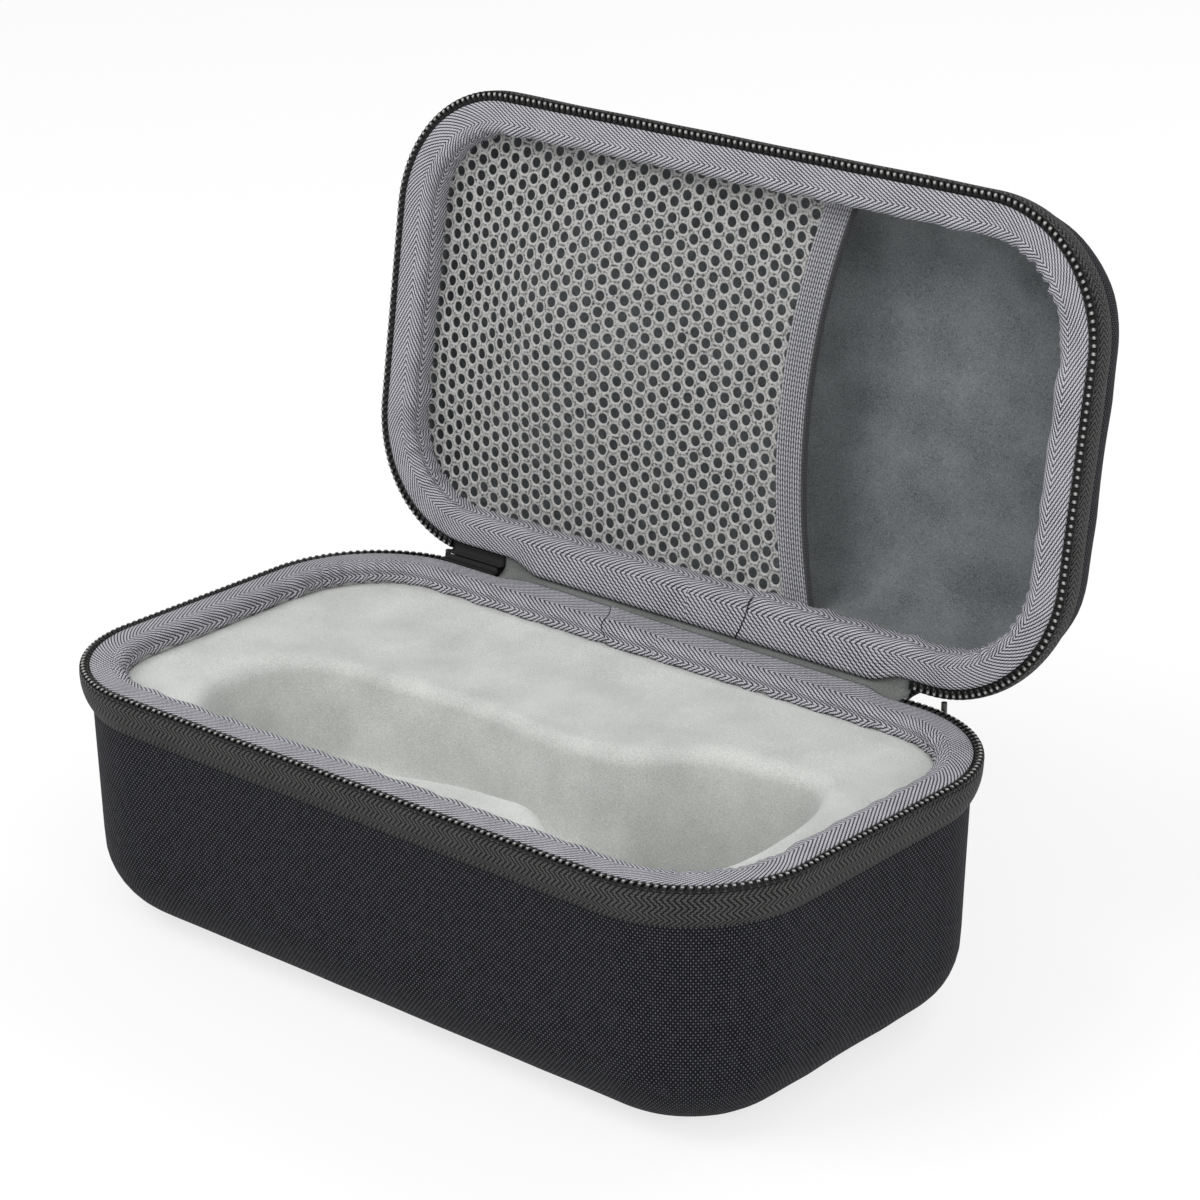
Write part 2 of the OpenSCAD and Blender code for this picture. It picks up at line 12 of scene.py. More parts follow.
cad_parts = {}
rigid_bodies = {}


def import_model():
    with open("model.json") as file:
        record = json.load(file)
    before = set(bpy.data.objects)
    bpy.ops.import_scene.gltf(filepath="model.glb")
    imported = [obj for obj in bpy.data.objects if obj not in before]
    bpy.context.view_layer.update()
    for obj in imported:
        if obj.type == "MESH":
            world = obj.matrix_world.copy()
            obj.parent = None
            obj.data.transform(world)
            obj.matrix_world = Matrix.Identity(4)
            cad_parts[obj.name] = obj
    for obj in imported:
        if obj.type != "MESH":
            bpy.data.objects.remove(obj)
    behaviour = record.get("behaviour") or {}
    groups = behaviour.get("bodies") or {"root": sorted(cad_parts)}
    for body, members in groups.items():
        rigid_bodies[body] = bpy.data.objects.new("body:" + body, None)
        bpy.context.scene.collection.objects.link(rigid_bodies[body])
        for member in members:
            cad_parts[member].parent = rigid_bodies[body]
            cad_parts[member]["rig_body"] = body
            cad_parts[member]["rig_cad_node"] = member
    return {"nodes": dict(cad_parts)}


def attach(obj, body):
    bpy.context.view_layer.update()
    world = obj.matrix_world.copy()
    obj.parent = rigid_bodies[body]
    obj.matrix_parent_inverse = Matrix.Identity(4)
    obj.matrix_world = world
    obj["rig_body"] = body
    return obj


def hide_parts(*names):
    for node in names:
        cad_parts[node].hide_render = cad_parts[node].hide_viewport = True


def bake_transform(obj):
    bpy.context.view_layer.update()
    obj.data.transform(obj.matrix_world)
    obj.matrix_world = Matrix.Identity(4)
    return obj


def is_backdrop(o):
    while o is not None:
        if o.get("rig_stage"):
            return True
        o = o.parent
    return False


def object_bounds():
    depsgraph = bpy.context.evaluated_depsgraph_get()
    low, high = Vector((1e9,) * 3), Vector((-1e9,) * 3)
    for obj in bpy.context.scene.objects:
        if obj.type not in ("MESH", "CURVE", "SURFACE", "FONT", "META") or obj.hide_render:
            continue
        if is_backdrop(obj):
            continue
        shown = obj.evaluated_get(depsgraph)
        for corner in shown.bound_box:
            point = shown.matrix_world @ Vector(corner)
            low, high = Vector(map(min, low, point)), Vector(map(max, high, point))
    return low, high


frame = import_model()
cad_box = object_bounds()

nodes = frame["nodes"]

# %% [markdown]
# The case is two cups whose walls run round one rounded rectangle. Three numbers hold that rectangle:
# the place of its corner axes in x and y, and the radius round them. The others hold the cups' walls,
# the zip's tape and the hinge line. They repeat the frame's own sizes, so that new fabric lies where
# the plain solids lie.

# %% Sizes of the case, in metres
mm = 0.001
corner_x, corner_y = 78 * mm, 27.5 * mm
rim_r = 36 * mm
skin_in = 2.8 * mm
rim_gap = 0.4 * mm
wall_t = 7.8 * mm
tape_top = 1.6 * mm
tape_h = 9.5 * mm
hinge_y, hinge_z = 64.4 * mm, 68 * mm
base_h, lid_h = 68 * mm, 29.5 * mm
open_turn = math.radians(-99)
hinge_right, hinge_left, tail_len = 72 * mm, 64 * mm, 19 * mm
quarter = rim_r * math.pi / 2
rim_length = 4 * (quarter + corner_x + corner_y)
print("length round the rim:", round(rim_length / mm), "mm; box of the frame:", cad_box)

# %% [markdown]
# The lid is described closed, as a cup that opens upwards, because both cups then share every
# formula. One function turns its points over and swings them open about the hinge line. A small table
# for each half holds what differs: its height, floor fillet and lean, how far its binding drops, where
# the binding's ends lap, and the lip and flat of its bare tape end, these two in millimetres.

# %% The two halves
def stay(points):
    return points


def swing_open(points):
    y = points[:, 1] - hinge_y
    z = base_h + lid_h - points[:, 2] - hinge_z
    c, s = math.cos(open_turn), math.sin(open_turn)
    return np.stack([points[:, 0], hinge_y + y * c - z * s, hinge_z + y * s + z * c], axis=1)


base = {"body": "base", "h": base_h, "fillet": 20 * mm, "draft": 1.8 * mm, "drop": 5 * mm, "place": stay,
        "joint": (-24 * mm, -16 * mm), "lip": 35.25, "flat": -0.05}
lid = {"body": "lid", "h": lid_h, "fillet": 20 * mm, "draft": 1.4 * mm, "drop": 7 * mm, "place": swing_open,
       "joint": (17 * mm, 21 * mm), "lip": 36.05, "flat": -0.85}


def ease(x):
    """A soft step from 0 to 1."""
    c = np.clip(x, 0, 1)
    return c * c * (3 - 2 * c)


def fillet_x(half):
    """Distance from a corner's axis to the centre of the floor's fillet."""
    lean = math.atan(half["draft"] / half["h"])
    rise = (half["h"] - half["fillet"]) * math.sin(lean)
    return rim_r - skin_in - (half["fillet"] + rise) / math.cos(lean)


def wall_x(half, inset, z):
    """Distance from a corner's axis to the wall's face that lies inset inside the skin, at height z."""
    lean = math.atan(half["draft"] / half["h"])
    r = half["fillet"] - inset
    return fillet_x(half) + r * math.cos(lean) + (z - half["fillet"] + r * math.sin(lean)) * math.tan(lean)


print("wall at the rim:", round(wall_x(base, 0, base_h) / mm, 2), "mm from a corner's axis")

# %% [markdown]
# Most pieces of the case are a section carried round the rim, as a moulding is. The walk round the rim
# comes first: straight legs and quarter bends by turns, starting in the middle of the hinge.

# %% Stations round the rim
def rim_line(step):
    """Corner axes, outward directions and distances of stations round the rim, from the hinge's middle."""
    legs = [(corner_x, 0), (quarter, 1), (2 * corner_y, 0), (quarter, 1), (2 * corner_x, 0),
            (quarter, 1), (2 * corner_y, 0), (quarter, 1), (corner_x, 0)]
    at, turn = np.array([0.0, corner_y]), 90.0
    anchors, ways, dist, total = [], [], [], 0.0
    for length, bends in legs:
        count = max(2, math.ceil(length / step))
        heading = np.array([math.sin(math.radians(turn)), -math.cos(math.radians(turn))])
        for k in range(count):
            share = k / count
            angle = math.radians(turn - 90 * share * bends)
            anchors.append(at + heading * length * share * (1 - bends))
            ways.append([math.cos(angle), math.sin(angle)])
            dist.append(total + length * share)
        at = at + heading * length * (1 - bends)
        turn -= 90 * bends
        total += length
    anchors.append(at)
    ways.append([math.cos(math.radians(turn)), math.sin(math.radians(turn))])
    dist.append(total)
    return np.array(anchors), np.array(ways), np.array(dist)


print("stations at 2 mm:", len(rim_line(2 * mm)[2]))


# %% [markdown]
# A grid primitive has the right order of points for such a piece: one way runs round the rim and the
# other way runs round the section. Its own UV map is stretched to real lengths, so that a weave keeps
# its scale on every piece.

# %% A grid primitive with its points placed by rule
def start_grid(name, points, u, v):
    """A grid of faces, its points given row by row and its UV map in metres."""
    across, along = points.shape[0] - 1, points.shape[1] - 1
    bpy.ops.object.select_all(action="DESELECT")
    bpy.ops.mesh.primitive_grid_add(x_subdivisions=along, y_subdivisions=across, size=1)
    piece = bpy.context.object
    piece.name = name
    piece.data.name = name
    mesh = piece.data
    flat = np.zeros(len(mesh.vertices) * 3)
    mesh.vertices.foreach_get("co", flat)
    flat = flat.reshape(-1, 3)
    col = np.rint((flat[:, 0] + 0.5) * along).astype(int)
    row = np.rint((flat[:, 1] + 0.5) * across).astype(int)
    mesh.vertices.foreach_set("co", points[row, col].ravel())
    corners = np.zeros(len(mesh.loops), int)
    mesh.loops.foreach_get("vertex_index", corners)
    layer = np.stack([u[col][corners], v[row][corners]], axis=1)
    mesh.uv_layers[0].data.foreach_set("uv", layer.ravel())
    return piece


# %% [markdown]
# A grid rolled into a tube still has a slit, and a cut length has open ends. Edit mode closes both and
# turns the faces outwards. A sheet gets its thickness from Solidify, once its shape is done.

# %% Closing, turning and thickening
weld_gap = 0.000002


def pick(*pieces):
    """Selects the given pieces and nothing else, the first of them active."""
    bpy.ops.object.select_all(action="DESELECT")
    for piece in pieces:
        piece.select_set(True)
    bpy.context.view_layer.objects.active = pieces[0]


def close_up(piece, weld=True, fill=False, outward=True):
    """Welds a piece's seams, fills its open ends and turns its faces outwards."""
    bpy.context.view_layer.objects.active = piece
    bpy.ops.object.mode_set(mode="EDIT")
    bpy.ops.mesh.select_all(action="SELECT")
    if weld:
        bpy.ops.mesh.remove_doubles(threshold=weld_gap)
    if fill:
        bpy.ops.mesh.fill_holes(sides=0)
        bpy.ops.mesh.select_all(action="SELECT")
    if outward:
        bpy.ops.mesh.normals_make_consistent(inside=False)
    bpy.ops.object.mode_set(mode="OBJECT")
    bpy.ops.object.shade_smooth()
    return piece


def turn_over(piece, way):
    """Flips a sheet whose faces mostly look away from the given direction."""
    if sum(face.normal.dot(way) * face.area for face in piece.data.polygons) < 0:
        bpy.ops.object.mode_set(mode="EDIT")
        bpy.ops.mesh.flip_normals()
        bpy.ops.object.mode_set(mode="OBJECT")


def thicken(piece, thickness, offset):
    """Gives a sheet its thickness: inwards where offset is -1, to both sides where it is 0."""
    cloth = piece.modifiers.new("cloth", "SOLIDIFY")
    cloth.thickness, cloth.offset = thickness, offset
    bpy.ops.object.modifier_apply(modifier=cloth.name)


# %% [markdown]
# The walk and the grid together make a sweep. A short function may push the section's points about on
# the way, which gives cloth its folds.

# %% A section carried round the rim
def lengths(rows):
    """Running length along the first station's section, one value for each row."""
    steps = np.linalg.norm(np.diff(rows, axis=0), axis=1)
    return np.concatenate([[0], np.cumsum(steps)])


def carry(half, anchors, ways, r, z):
    """Points at distance r from the corner axes and at height z, for each row and station."""
    xy = anchors[None, :, :] + r[:, :, None] * ways[None, :, :]
    points = np.concatenate([xy, z[:, :, None]], axis=2)
    return half["place"](points.reshape(-1, 3)).reshape(points.shape)


def sweep(name, half, section, step=2 * mm, stretch=None, puff=None):
    """Carries a closed section [(distance from corner axis, height)] round the rim of one half."""
    anchors, ways, dist = rim_line(step)
    if stretch:
        keep = (dist >= stretch[0] - 1e-9) & (dist <= stretch[1] + 1e-9)
        anchors, ways, dist = anchors[keep], ways[keep], dist[keep]
    rows = np.array(section + [section[0]])
    r = np.repeat(rows[:, :1], len(dist), axis=1)
    z = np.repeat(rows[:, 1:], len(dist), axis=1)
    v = lengths(rows)
    if puff:
        dr, dz = puff(dist[None, :], v[:, None])
        dr[-1], dz[-1] = dr[0], dz[0]
        r, z = r + dr, z + dz
    piece = start_grid(name, carry(half, anchors, ways, r, z), dist, v)
    return close_up(piece, fill=bool(stretch))


# %% [markdown]
# Cloth is never quite even. A sum of a few sines with fixed phases gives a wobble that is the same on
# every run, and that closes on itself round the rim.

# %% A closed wobble along the rim
def wobble(u, seed, low, high):
    """Smooth noise of about unit height along the rim, with low to high waves to the whole round."""
    terms = 7
    rng = np.random.default_rng(seed)
    total = np.zeros_like(u)
    for count, phase in zip(rng.integers(low, high, terms), rng.uniform(0, 2 * math.pi, terms)):
        total = total + np.sin(u / rim_length * 2 * math.pi * count + phase)
    return total / math.sqrt(terms / 2)


def at_corners(u, reach):
    """1 in the middle of each corner and 0 on the straight sides."""
    centres = [corner_x + quarter / 2, corner_x + 1.5 * quarter + 2 * corner_y]
    centres += [rim_length - c for c in centres]
    total = np.zeros_like(u)
    for c in centres:
        total = total + np.clip(1 - np.abs(u - c) / (quarter / 2 * reach), 0, 1)
    return total


print("wobble over one side:", wobble(np.linspace(0, 0.1, 5), 3, 20, 60).round(2))

# %% [markdown]
# Every new piece ends in the same way. It takes its material, rides on a body so that it moves with the
# joints, and stands for the plain solid it covers.

# %% Settling a piece
def dress(piece, mat):
    piece.data.materials.clear()
    piece.data.materials.append(mat)


def settle(piece, mat, body, slot, *replaced):
    dress(piece, mat)
    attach(piece, body)
    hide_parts(*replaced)
    print(piece.name, "faces:", len(piece.data.polygons))


# %% [markdown]
# Materials first need a few short words for nodes. A pattern is arithmetic on the UV map, in metres:
# a thread is a sine ridge, a twill is a slanted one, and a herringbone slants back and forth.

# %% Words for node patterns
def start_material(name, color, roughness, **values):
    mat = bpy.data.materials.new(name)
    mat.use_nodes = True
    tree = mat.node_tree
    shader = tree.nodes["Principled BSDF"]
    shader.inputs["Base Color"].default_value = (*color, 1)
    shader.inputs["Roughness"].default_value = roughness
    for key, value in values.items():
        shader.inputs[key.replace("_", " ")].default_value = value
    return mat, tree, shader


def feed(tree, socket, value):
    if hasattr(value, "is_output"):
        tree.links.new(value, socket)
    else:
        socket.default_value = value


def calc(tree, op, *values):
    node = tree.nodes.new("ShaderNodeMath")
    node.operation = op
    for socket, value in zip(node.inputs, values):
        feed(tree, socket, value)
    return node.outputs[0]


def ridge(tree, x, pitch):
    """Rounded ridges across x, one to a pitch, from 0 to 1."""
    return calc(tree, "ABSOLUTE", calc(tree, "SINE", calc(tree, "MULTIPLY", x, math.pi / pitch)))


# %% [markdown]
# A pattern becomes a finish in two ways: it picks the colour between a dark gap and a light thread, and
# it is pressed into the surface as relief.

# %% Words for place, colour and relief
def cloth_uv(tree):
    """The two lengths of the UV map, along the cloth and across it."""
    uv = tree.nodes.new("ShaderNodeUVMap")
    uv.uv_map = "UVMap"
    parts = tree.nodes.new("ShaderNodeSeparateXYZ")
    tree.links.new(uv.outputs[0], parts.inputs[0])
    return parts.outputs[0], parts.outputs[1]


def speckle(tree, scale, detail=2.0):
    """Noise from 0 to 1 on object coordinates."""
    where = tree.nodes.new("ShaderNodeTexCoord").outputs["Object"]
    node = tree.nodes.new("ShaderNodeTexNoise")
    node.inputs["Scale"].default_value = scale
    node.inputs["Detail"].default_value = detail
    tree.links.new(where, node.inputs["Vector"])
    return node.outputs["Fac"]


def paint(tree, shader, amount, dark, light, start, end):
    """Colours the surface from dark to light as amount goes from start to end."""
    ramp = tree.nodes.new("ShaderNodeValToRGB")
    for stop, position, color in zip(ramp.color_ramp.elements, (start, end), (dark, light)):
        stop.position = position
        stop.color = (*color, 1)
    tree.links.new(amount, ramp.inputs[0])
    tree.links.new(ramp.outputs[0], shader.inputs["Base Color"])


def emboss(tree, shader, height, depth, strength):
    """Height from 0 to 1 pressed into the surface, depth in metres."""
    bump = tree.nodes.new("ShaderNodeBump")
    bump.inputs["Strength"].default_value = strength
    bump.inputs["Distance"].default_value = depth
    tree.links.new(height, bump.inputs["Height"])
    tree.links.new(bump.outputs[0], shader.inputs["Normal"])


# %% [markdown]
# The outer cover is a fine plain weave in dark polyester. Where one thread crosses over another it
# catches the light, so the cloth is a field of tiny dots.

# %% Plain weave of the covers
def woven(name, dark, light, pitch, stretch=1.0):
    """Ridges of warp and weft; a crossing stands higher where the warp lies on top."""
    mat, tree, shader = start_material(name, dark, 0.75, Specular_IOR_Level=0.1)
    u, v = cloth_uv(tree)
    warp = ridge(tree, u, pitch)
    weft = ridge(tree, v, pitch * stretch)
    over = calc(tree, "SINE", calc(tree, "MULTIPLY", u, math.pi / pitch))
    under = calc(tree, "SINE", calc(tree, "MULTIPLY", v, math.pi / (pitch * stretch)))
    side = calc(tree, "MULTIPLY_ADD", calc(tree, "MULTIPLY", over, under), 0.5, 0.5)
    crossing = calc(tree, "MULTIPLY", warp, weft)
    height = calc(tree, "MULTIPLY", crossing, calc(tree, "MULTIPLY_ADD", side, 0.7, 0.3))
    patch = speckle(tree, 500.0, 3.0)
    tint = calc(tree, "MULTIPLY_ADD", patch, 0.3, height)
    paint(tree, shader, tint, dark, light, 0.38, 0.95)
    emboss(tree, shader, height, 0.25 * mm, 0.6)
    return mat


cover_thread, hinge_thread = 0.64 * mm, 0.68 * mm
cover_cloth = woven("woven_cover", (0.004, 0.0042, 0.0055), (0.10, 0.101, 0.117), cover_thread, 1.15)
hinge_cloth = woven("hinge_fabric", (0.0045, 0.0047, 0.006), (0.11, 0.111, 0.125), hinge_thread)
print("thread pitch in mm:", round(cover_thread / mm, 2), "and", round(hinge_thread / mm, 2))


# %% [markdown]
# The binding is a herringbone tape: twill lines that slant one way, then back. Light lilac grey
# threads lie over dark gaps, and fine cross threads break each line into dashes.

# %% Herringbone binding
def herringbone(name, dark, light, line, zone, thread, slope, gloss, seam=None):
    """Twill that slants back and forth; seam is (u, lean, width) of a dark overlap line."""
    mat, tree, shader = start_material(name, light, 0.62, Specular_IOR_Level=gloss)
    u, v = cloth_uv(tree)
    slant = calc(tree, "MULTIPLY_ADD", calc(tree, "PINGPONG", v, zone), slope, u)
    lines = calc(tree, "POWER", ridge(tree, slant, line), 1.5)
    cross = ridge(tree, v, thread)
    fine = ridge(tree, u, thread)
    dashes = calc(tree, "MULTIPLY_ADD", cross, 0.65, 0.35)
    fines = calc(tree, "MULTIPLY_ADD", fine, 0.5, 0.5)
    height = calc(tree, "MULTIPLY", calc(tree, "MULTIPLY", lines, dashes), fines)
    patch = speckle(tree, 120.0, 2.0)
    tint = calc(tree, "MULTIPLY_ADD", patch, 0.16, height)
    if seam:
        start, lean, width = seam
        bow = calc(tree, "MULTIPLY", calc(tree, "SINE", calc(tree, "MULTIPLY", v, 420.0)), 0.8 * mm)
        centre = calc(tree, "ADD", calc(tree, "MULTIPLY_ADD", v, lean, start), bow)
        away = calc(tree, "ABSOLUTE", calc(tree, "SUBTRACT", u, centre))
        line_edge = calc(tree, "MINIMUM", calc(tree, "DIVIDE", away, width), 1.0)
        tint = calc(tree, "MULTIPLY", tint, line_edge)
    paint(tree, shader, tint, dark, light, 0.14, 0.62)
    emboss(tree, shader, height, 0.35 * mm, 0.8)
    return mat


binding_look = {"dark": (0.006, 0.006, 0.009), "light": (0.55, 0.545, 0.595), "line": 1.75 * mm,
                "zone": 5.6 * mm, "thread": 0.6 * mm, "slope": 1.8, "gloss": 0.25}
base["cloth"] = herringbone("binding_base", **binding_look, seam=(rim_length - 24 * mm, 0.75, 0.3 * mm))
lid["cloth"] = herringbone("binding_lid", **binding_look, seam=(17 * mm, 0.4, 0.6 * mm))
tape_look = {"dark": (0.0025, 0.0026, 0.0025), "light": (0.075, 0.077, 0.074), "line": 1.5 * mm,
             "zone": 2.0 * mm, "thread": 0.7 * mm, "slope": 1.0, "gloss": 0.1}
tape_cloth = herringbone("zip_tape", **tape_look)
print("tape patterns made")


# %% [markdown]
# The plush of the tray and the lid has no weave to see. Its short pile shows as a fine grain, patches
# where the nap lies another way, and a soft sheen at grazing angles.

# %% Plush
def plush(name, dark, light, sheen=0.35):
    mat, tree, shader = start_material(name, light, 0.95, Sheen_Weight=sheen, Sheen_Roughness=0.5,
                                       Specular_IOR_Level=0.2)
    grain = speckle(tree, 2600.0, 3.0)
    nap = speckle(tree, 70.0, 4.0)
    tint = calc(tree, "MULTIPLY_ADD", nap, 0.45, calc(tree, "MULTIPLY", grain, 0.75))
    paint(tree, shader, tint, dark, light, 0.35, 0.85)
    height = calc(tree, "MULTIPLY_ADD", nap, 0.6, grain)
    emboss(tree, shader, height, 0.25 * mm, 0.5)
    return mat


tray_plush = plush("plush_light", (0.38, 0.392, 0.375), (0.67, 0.685, 0.66))
lid_plush = plush("plush_dark", (0.045, 0.05, 0.054), (0.20, 0.215, 0.222), 0.2)
liner_plush = plush("hinge_liner", (0.07, 0.075, 0.072), (0.19, 0.2, 0.19), 0.2)
print("plush made for the tray, the lid and the hinge")


# %% [markdown]
# The mesh and the elastic are knitted from pale yarn over dark gaps. The net's holes are real, so its
# material only has to break up the yarn, with a lighter ring at each hole that the mesh marks itself.

# %% Knitted mesh and elastic
def knit(name, dark, light):
    """Air mesh yarn: pale and broken up, with a lighter ring round each hole."""
    mat, tree, shader = start_material(name, light, 0.8, Sheen_Weight=0.1)
    yarn = speckle(tree, 1700.0, 4.0)
    coarse = speckle(tree, 800.0, 2.0)
    ring = tree.nodes.new("ShaderNodeAttribute")
    ring.attribute_name = "hole_edge"
    mixed = calc(tree, "MULTIPLY_ADD", coarse, 0.4, calc(tree, "MULTIPLY", yarn, 0.9))
    tint = calc(tree, "MULTIPLY_ADD", ring.outputs["Fac"], 0.22, mixed)
    paint(tree, shader, tint, dark, light, 0.52, 0.84)
    emboss(tree, shader, mixed, 0.3 * mm, 0.8)
    return mat


def ribbed(name, dark, light, rib, stitch):
    """Knitted elastic: ribs along its length, each a chain of small stitches."""
    mat, tree, shader = start_material(name, light, 0.8, Sheen_Weight=0.1)
    u, v = cloth_uv(tree)
    ribs = ridge(tree, v, rib)
    chain = ridge(tree, calc(tree, "MULTIPLY_ADD", calc(tree, "PINGPONG", v, rib), 0.8, u), stitch)
    height = calc(tree, "MULTIPLY", ribs, calc(tree, "MULTIPLY_ADD", chain, 0.6, 0.4))
    paint(tree, shader, height, dark, light, 0.15, 0.8)
    emboss(tree, shader, height, 0.3 * mm, 0.8)
    return mat


net_yarn = knit("mesh", (0.006, 0.006, 0.006), (0.40, 0.398, 0.39))
elastic_knit = ribbed("elastic", (0.005, 0.005, 0.006), (0.42, 0.42, 0.455), 0.8 * mm, 1.3 * mm)
piping_thread = ribbed("piping", (0.008, 0.008, 0.009), (0.05, 0.05, 0.055), 0.4 * mm, 0.8 * mm)
print("knits made:", net_yarn.name, elastic_knit.name, piping_thread.name)


# %% [markdown]
# Nylon, metal and foam are smooth. What shows on them is wear: a faint mottling of colour and gloss. The
# crown of each of the zip's loops carries a painted highlight, a light colour where the lamps would glint on
# the glossy nylon.

# %% Nylon, metal and foam
def smooth_part(name, dark, light, roughness, scale, metallic=0.0, gloss=0.5):
    """Plastic, metal or foam: faint mottling, worn lighter where the noise is high."""
    mat, tree, shader = start_material(name, light, roughness, Metallic=metallic, Specular_IOR_Level=gloss)
    grain = speckle(tree, scale, 5.0)
    paint(tree, shader, grain, dark, light, 0.3, 0.75)
    rough = calc(tree, "MULTIPLY_ADD", grain, 0.25, roughness - 0.1)
    tree.links.new(rough, shader.inputs["Roughness"])
    emboss(tree, shader, grain, 0.05 * mm, 0.3)
    return mat


def nylon_coil():
    """Black glossy nylon; the crown of each loop carries a painted highlight, a light colour in place of a
    glint.
    """
    mat, tree, shader = start_material("zip_nylon", (0.004, 0.004, 0.004), 0.3, Specular_IOR_Level=0.25)
    # The crown mark paints a highlight: the bend of each loop is coloured light where a glint would be.
    crown_highlight = tree.nodes.new("ShaderNodeAttribute")
    crown_highlight.attribute_name = "crown_highlight"
    mottle = calc(tree, "MULTIPLY_ADD", speckle(tree, 900.0), 0.6, 0.7)
    spots = calc(tree, "MULTIPLY", crown_highlight.outputs["Fac"], mottle)
    paint(tree, shader, spots, (0.003, 0.003, 0.003), (0.5, 0.5, 0.48), 0.35, 0.95)
    return mat


coil_nylon = nylon_coil()
tail_nylon = smooth_part("zip_end", (0.003, 0.003, 0.003), (0.008, 0.008, 0.008), 0.5, 700.0, gloss=0.15)
foam = smooth_part("foam_board", (0.02, 0.02, 0.022), (0.045, 0.045, 0.048), 0.8, 500.0)
slider_metal = smooth_part("slider_metal", (0.06, 0.058, 0.055), (0.10, 0.097, 0.092), 0.36, 900.0,
                           metallic=0.85)
print("materials:", len(bpy.data.materials))


# %% [markdown]
# The outer cover goes down the wall, round the moulded edge and across the floor. It is one grid from
# the rim to the corner axes, where its corners gather to a point, and the floor between them is one
# face. Solidify then gives the cloth its thickness, inwards.

# %% Woven covers
def lay_weave(piece, half):
    """Lays the UV map of the large flat face along x and y, in metres."""
    across = half["place"](np.array([[0, 1.0, 0]])) - half["place"](np.zeros((1, 3)))
    flat_face = max(piece.data.polygons, key=lambda face: face.area)
    for corner in flat_face.loop_indices:
        spot = np.array(piece.data.vertices[piece.data.loops[corner].vertex_index].co)
        piece.data.uv_layers[0].data[corner].uv = (spot[0], float(spot @ across[0]))


def cover_section(half):
    """The cover's line: down the wall, round the fillet and in to the corner's axis."""
    lean = math.atan(half["draft"] / half["h"])
    cx, f = fillet_x(half), half["fillet"]
    top, low = half["h"] - 1.5 * mm, f + 2 * mm
    wall = np.array([(wall_x(half, 0, top), top), (wall_x(half, 0, low), low)])
    down = np.linspace(0, 1, 14)[:, None]
    rows = list(wall[0] * (1 - down) + wall[1] * down)
    for angle in np.linspace(-math.degrees(lean), -90, 13)[1:]:
        a = math.radians(angle)
        rows.append(np.array([cx + f * math.cos(a), f + f * math.sin(a)]))
    rows += [np.array([cx * (1 - k / 4), 0]) for k in range(1, 5)]
    return np.array(rows)


def add_floor(piece, ring):
    """Selects the ring of points round the floor and fills it with one face."""
    bpy.ops.object.mode_set(mode="EDIT")
    bpy.ops.mesh.select_all(action="DESELECT")
    bpy.ops.object.mode_set(mode="OBJECT")
    spots = {tuple(np.round(p, 6)) for p in ring}
    for vertex in piece.data.vertices:
        vertex.select = tuple(np.round(np.array(vertex.co), 6)) in spots
    bpy.ops.object.mode_set(mode="EDIT")
    bpy.ops.mesh.edge_face_add()
    bpy.ops.mesh.select_all(action="SELECT")
    bpy.ops.mesh.normals_make_consistent(inside=False)
    bpy.ops.object.mode_set(mode="OBJECT")


def cover(name, half, node):
    rows = cover_section(half)
    anchors, ways, dist = rim_line(3 * mm)
    belly = np.sin(np.linspace(0, math.pi, len(rows)))[:, None]
    bulge = 0.25 * mm * wobble(dist, seed=5, low=6, high=16) * belly
    heights = np.repeat(rows[:, 1:], len(dist), axis=1)
    points = carry(half, anchors, ways, rows[:, :1] - np.abs(bulge), heights)
    piece = start_grid(name, points, dist, lengths(rows))
    close_up(piece, outward=False)
    add_floor(piece, points[-1])
    lay_weave(piece, half)
    thicken(piece, 0.7 * mm, -1)
    bpy.ops.object.shade_smooth()
    settle(piece, cover_cloth, half["body"], "woven_cover", node)


cover("woven_base", base, "base_cover")
cover("woven_lid", lid, "lid_cover")


# %% [markdown]
# The zip's tape is a stiff band round the outside of each rim. It stands proud at the coil and curves
# in to the cover at its far edge.

# %% Zip tapes
def tape(name, half, node):
    top = half["h"] - tape_top
    low = top - tape_h
    proud, edge, steps = 2.65 * mm, 0.2 * mm, 14
    squareness, roll_in = 2.6, 0.04
    section = [(wall_x(half, 0, top) + 0.3 * mm, top)]
    for k in range(steps + 1):
        t = k / steps
        z = top - tape_h * t
        swell = proud * max(0.0, 1 - t ** squareness) * (1 - roll_in * (1 - t) ** 6)
        section.append((wall_x(half, 0, z) + edge + swell, z))
    foot = wall_x(half, 0, low) - 0.1 * mm
    section += [(foot, low - 0.1 * mm), (foot, low + 3 * mm)]

    def puff(u, v):
        sway = wobble(u, seed=11, low=8, high=24) * 0.05 * mm
        return sway * np.clip(v / (4 * mm), 0, 1) * (v < 11 * mm) - 0.05 * mm, sway * 0

    piece = sweep(name, half, section, 2 * mm, (hinge_right, rim_length - hinge_left), puff)
    settle(piece, tape_cloth, half["body"], "zip_tape", node)


tape("zip_band_base", base, "base_zip_tape")
tape("zip_band_lid", lid, "lid_zip_tape")


# %% [markdown]
# The binding covers the raw edge of each cup: flat on top, rolled over the inner edge, then down the
# inner wall. It is drawn in at the corners, where the spare cloth gathers into pinched creases.

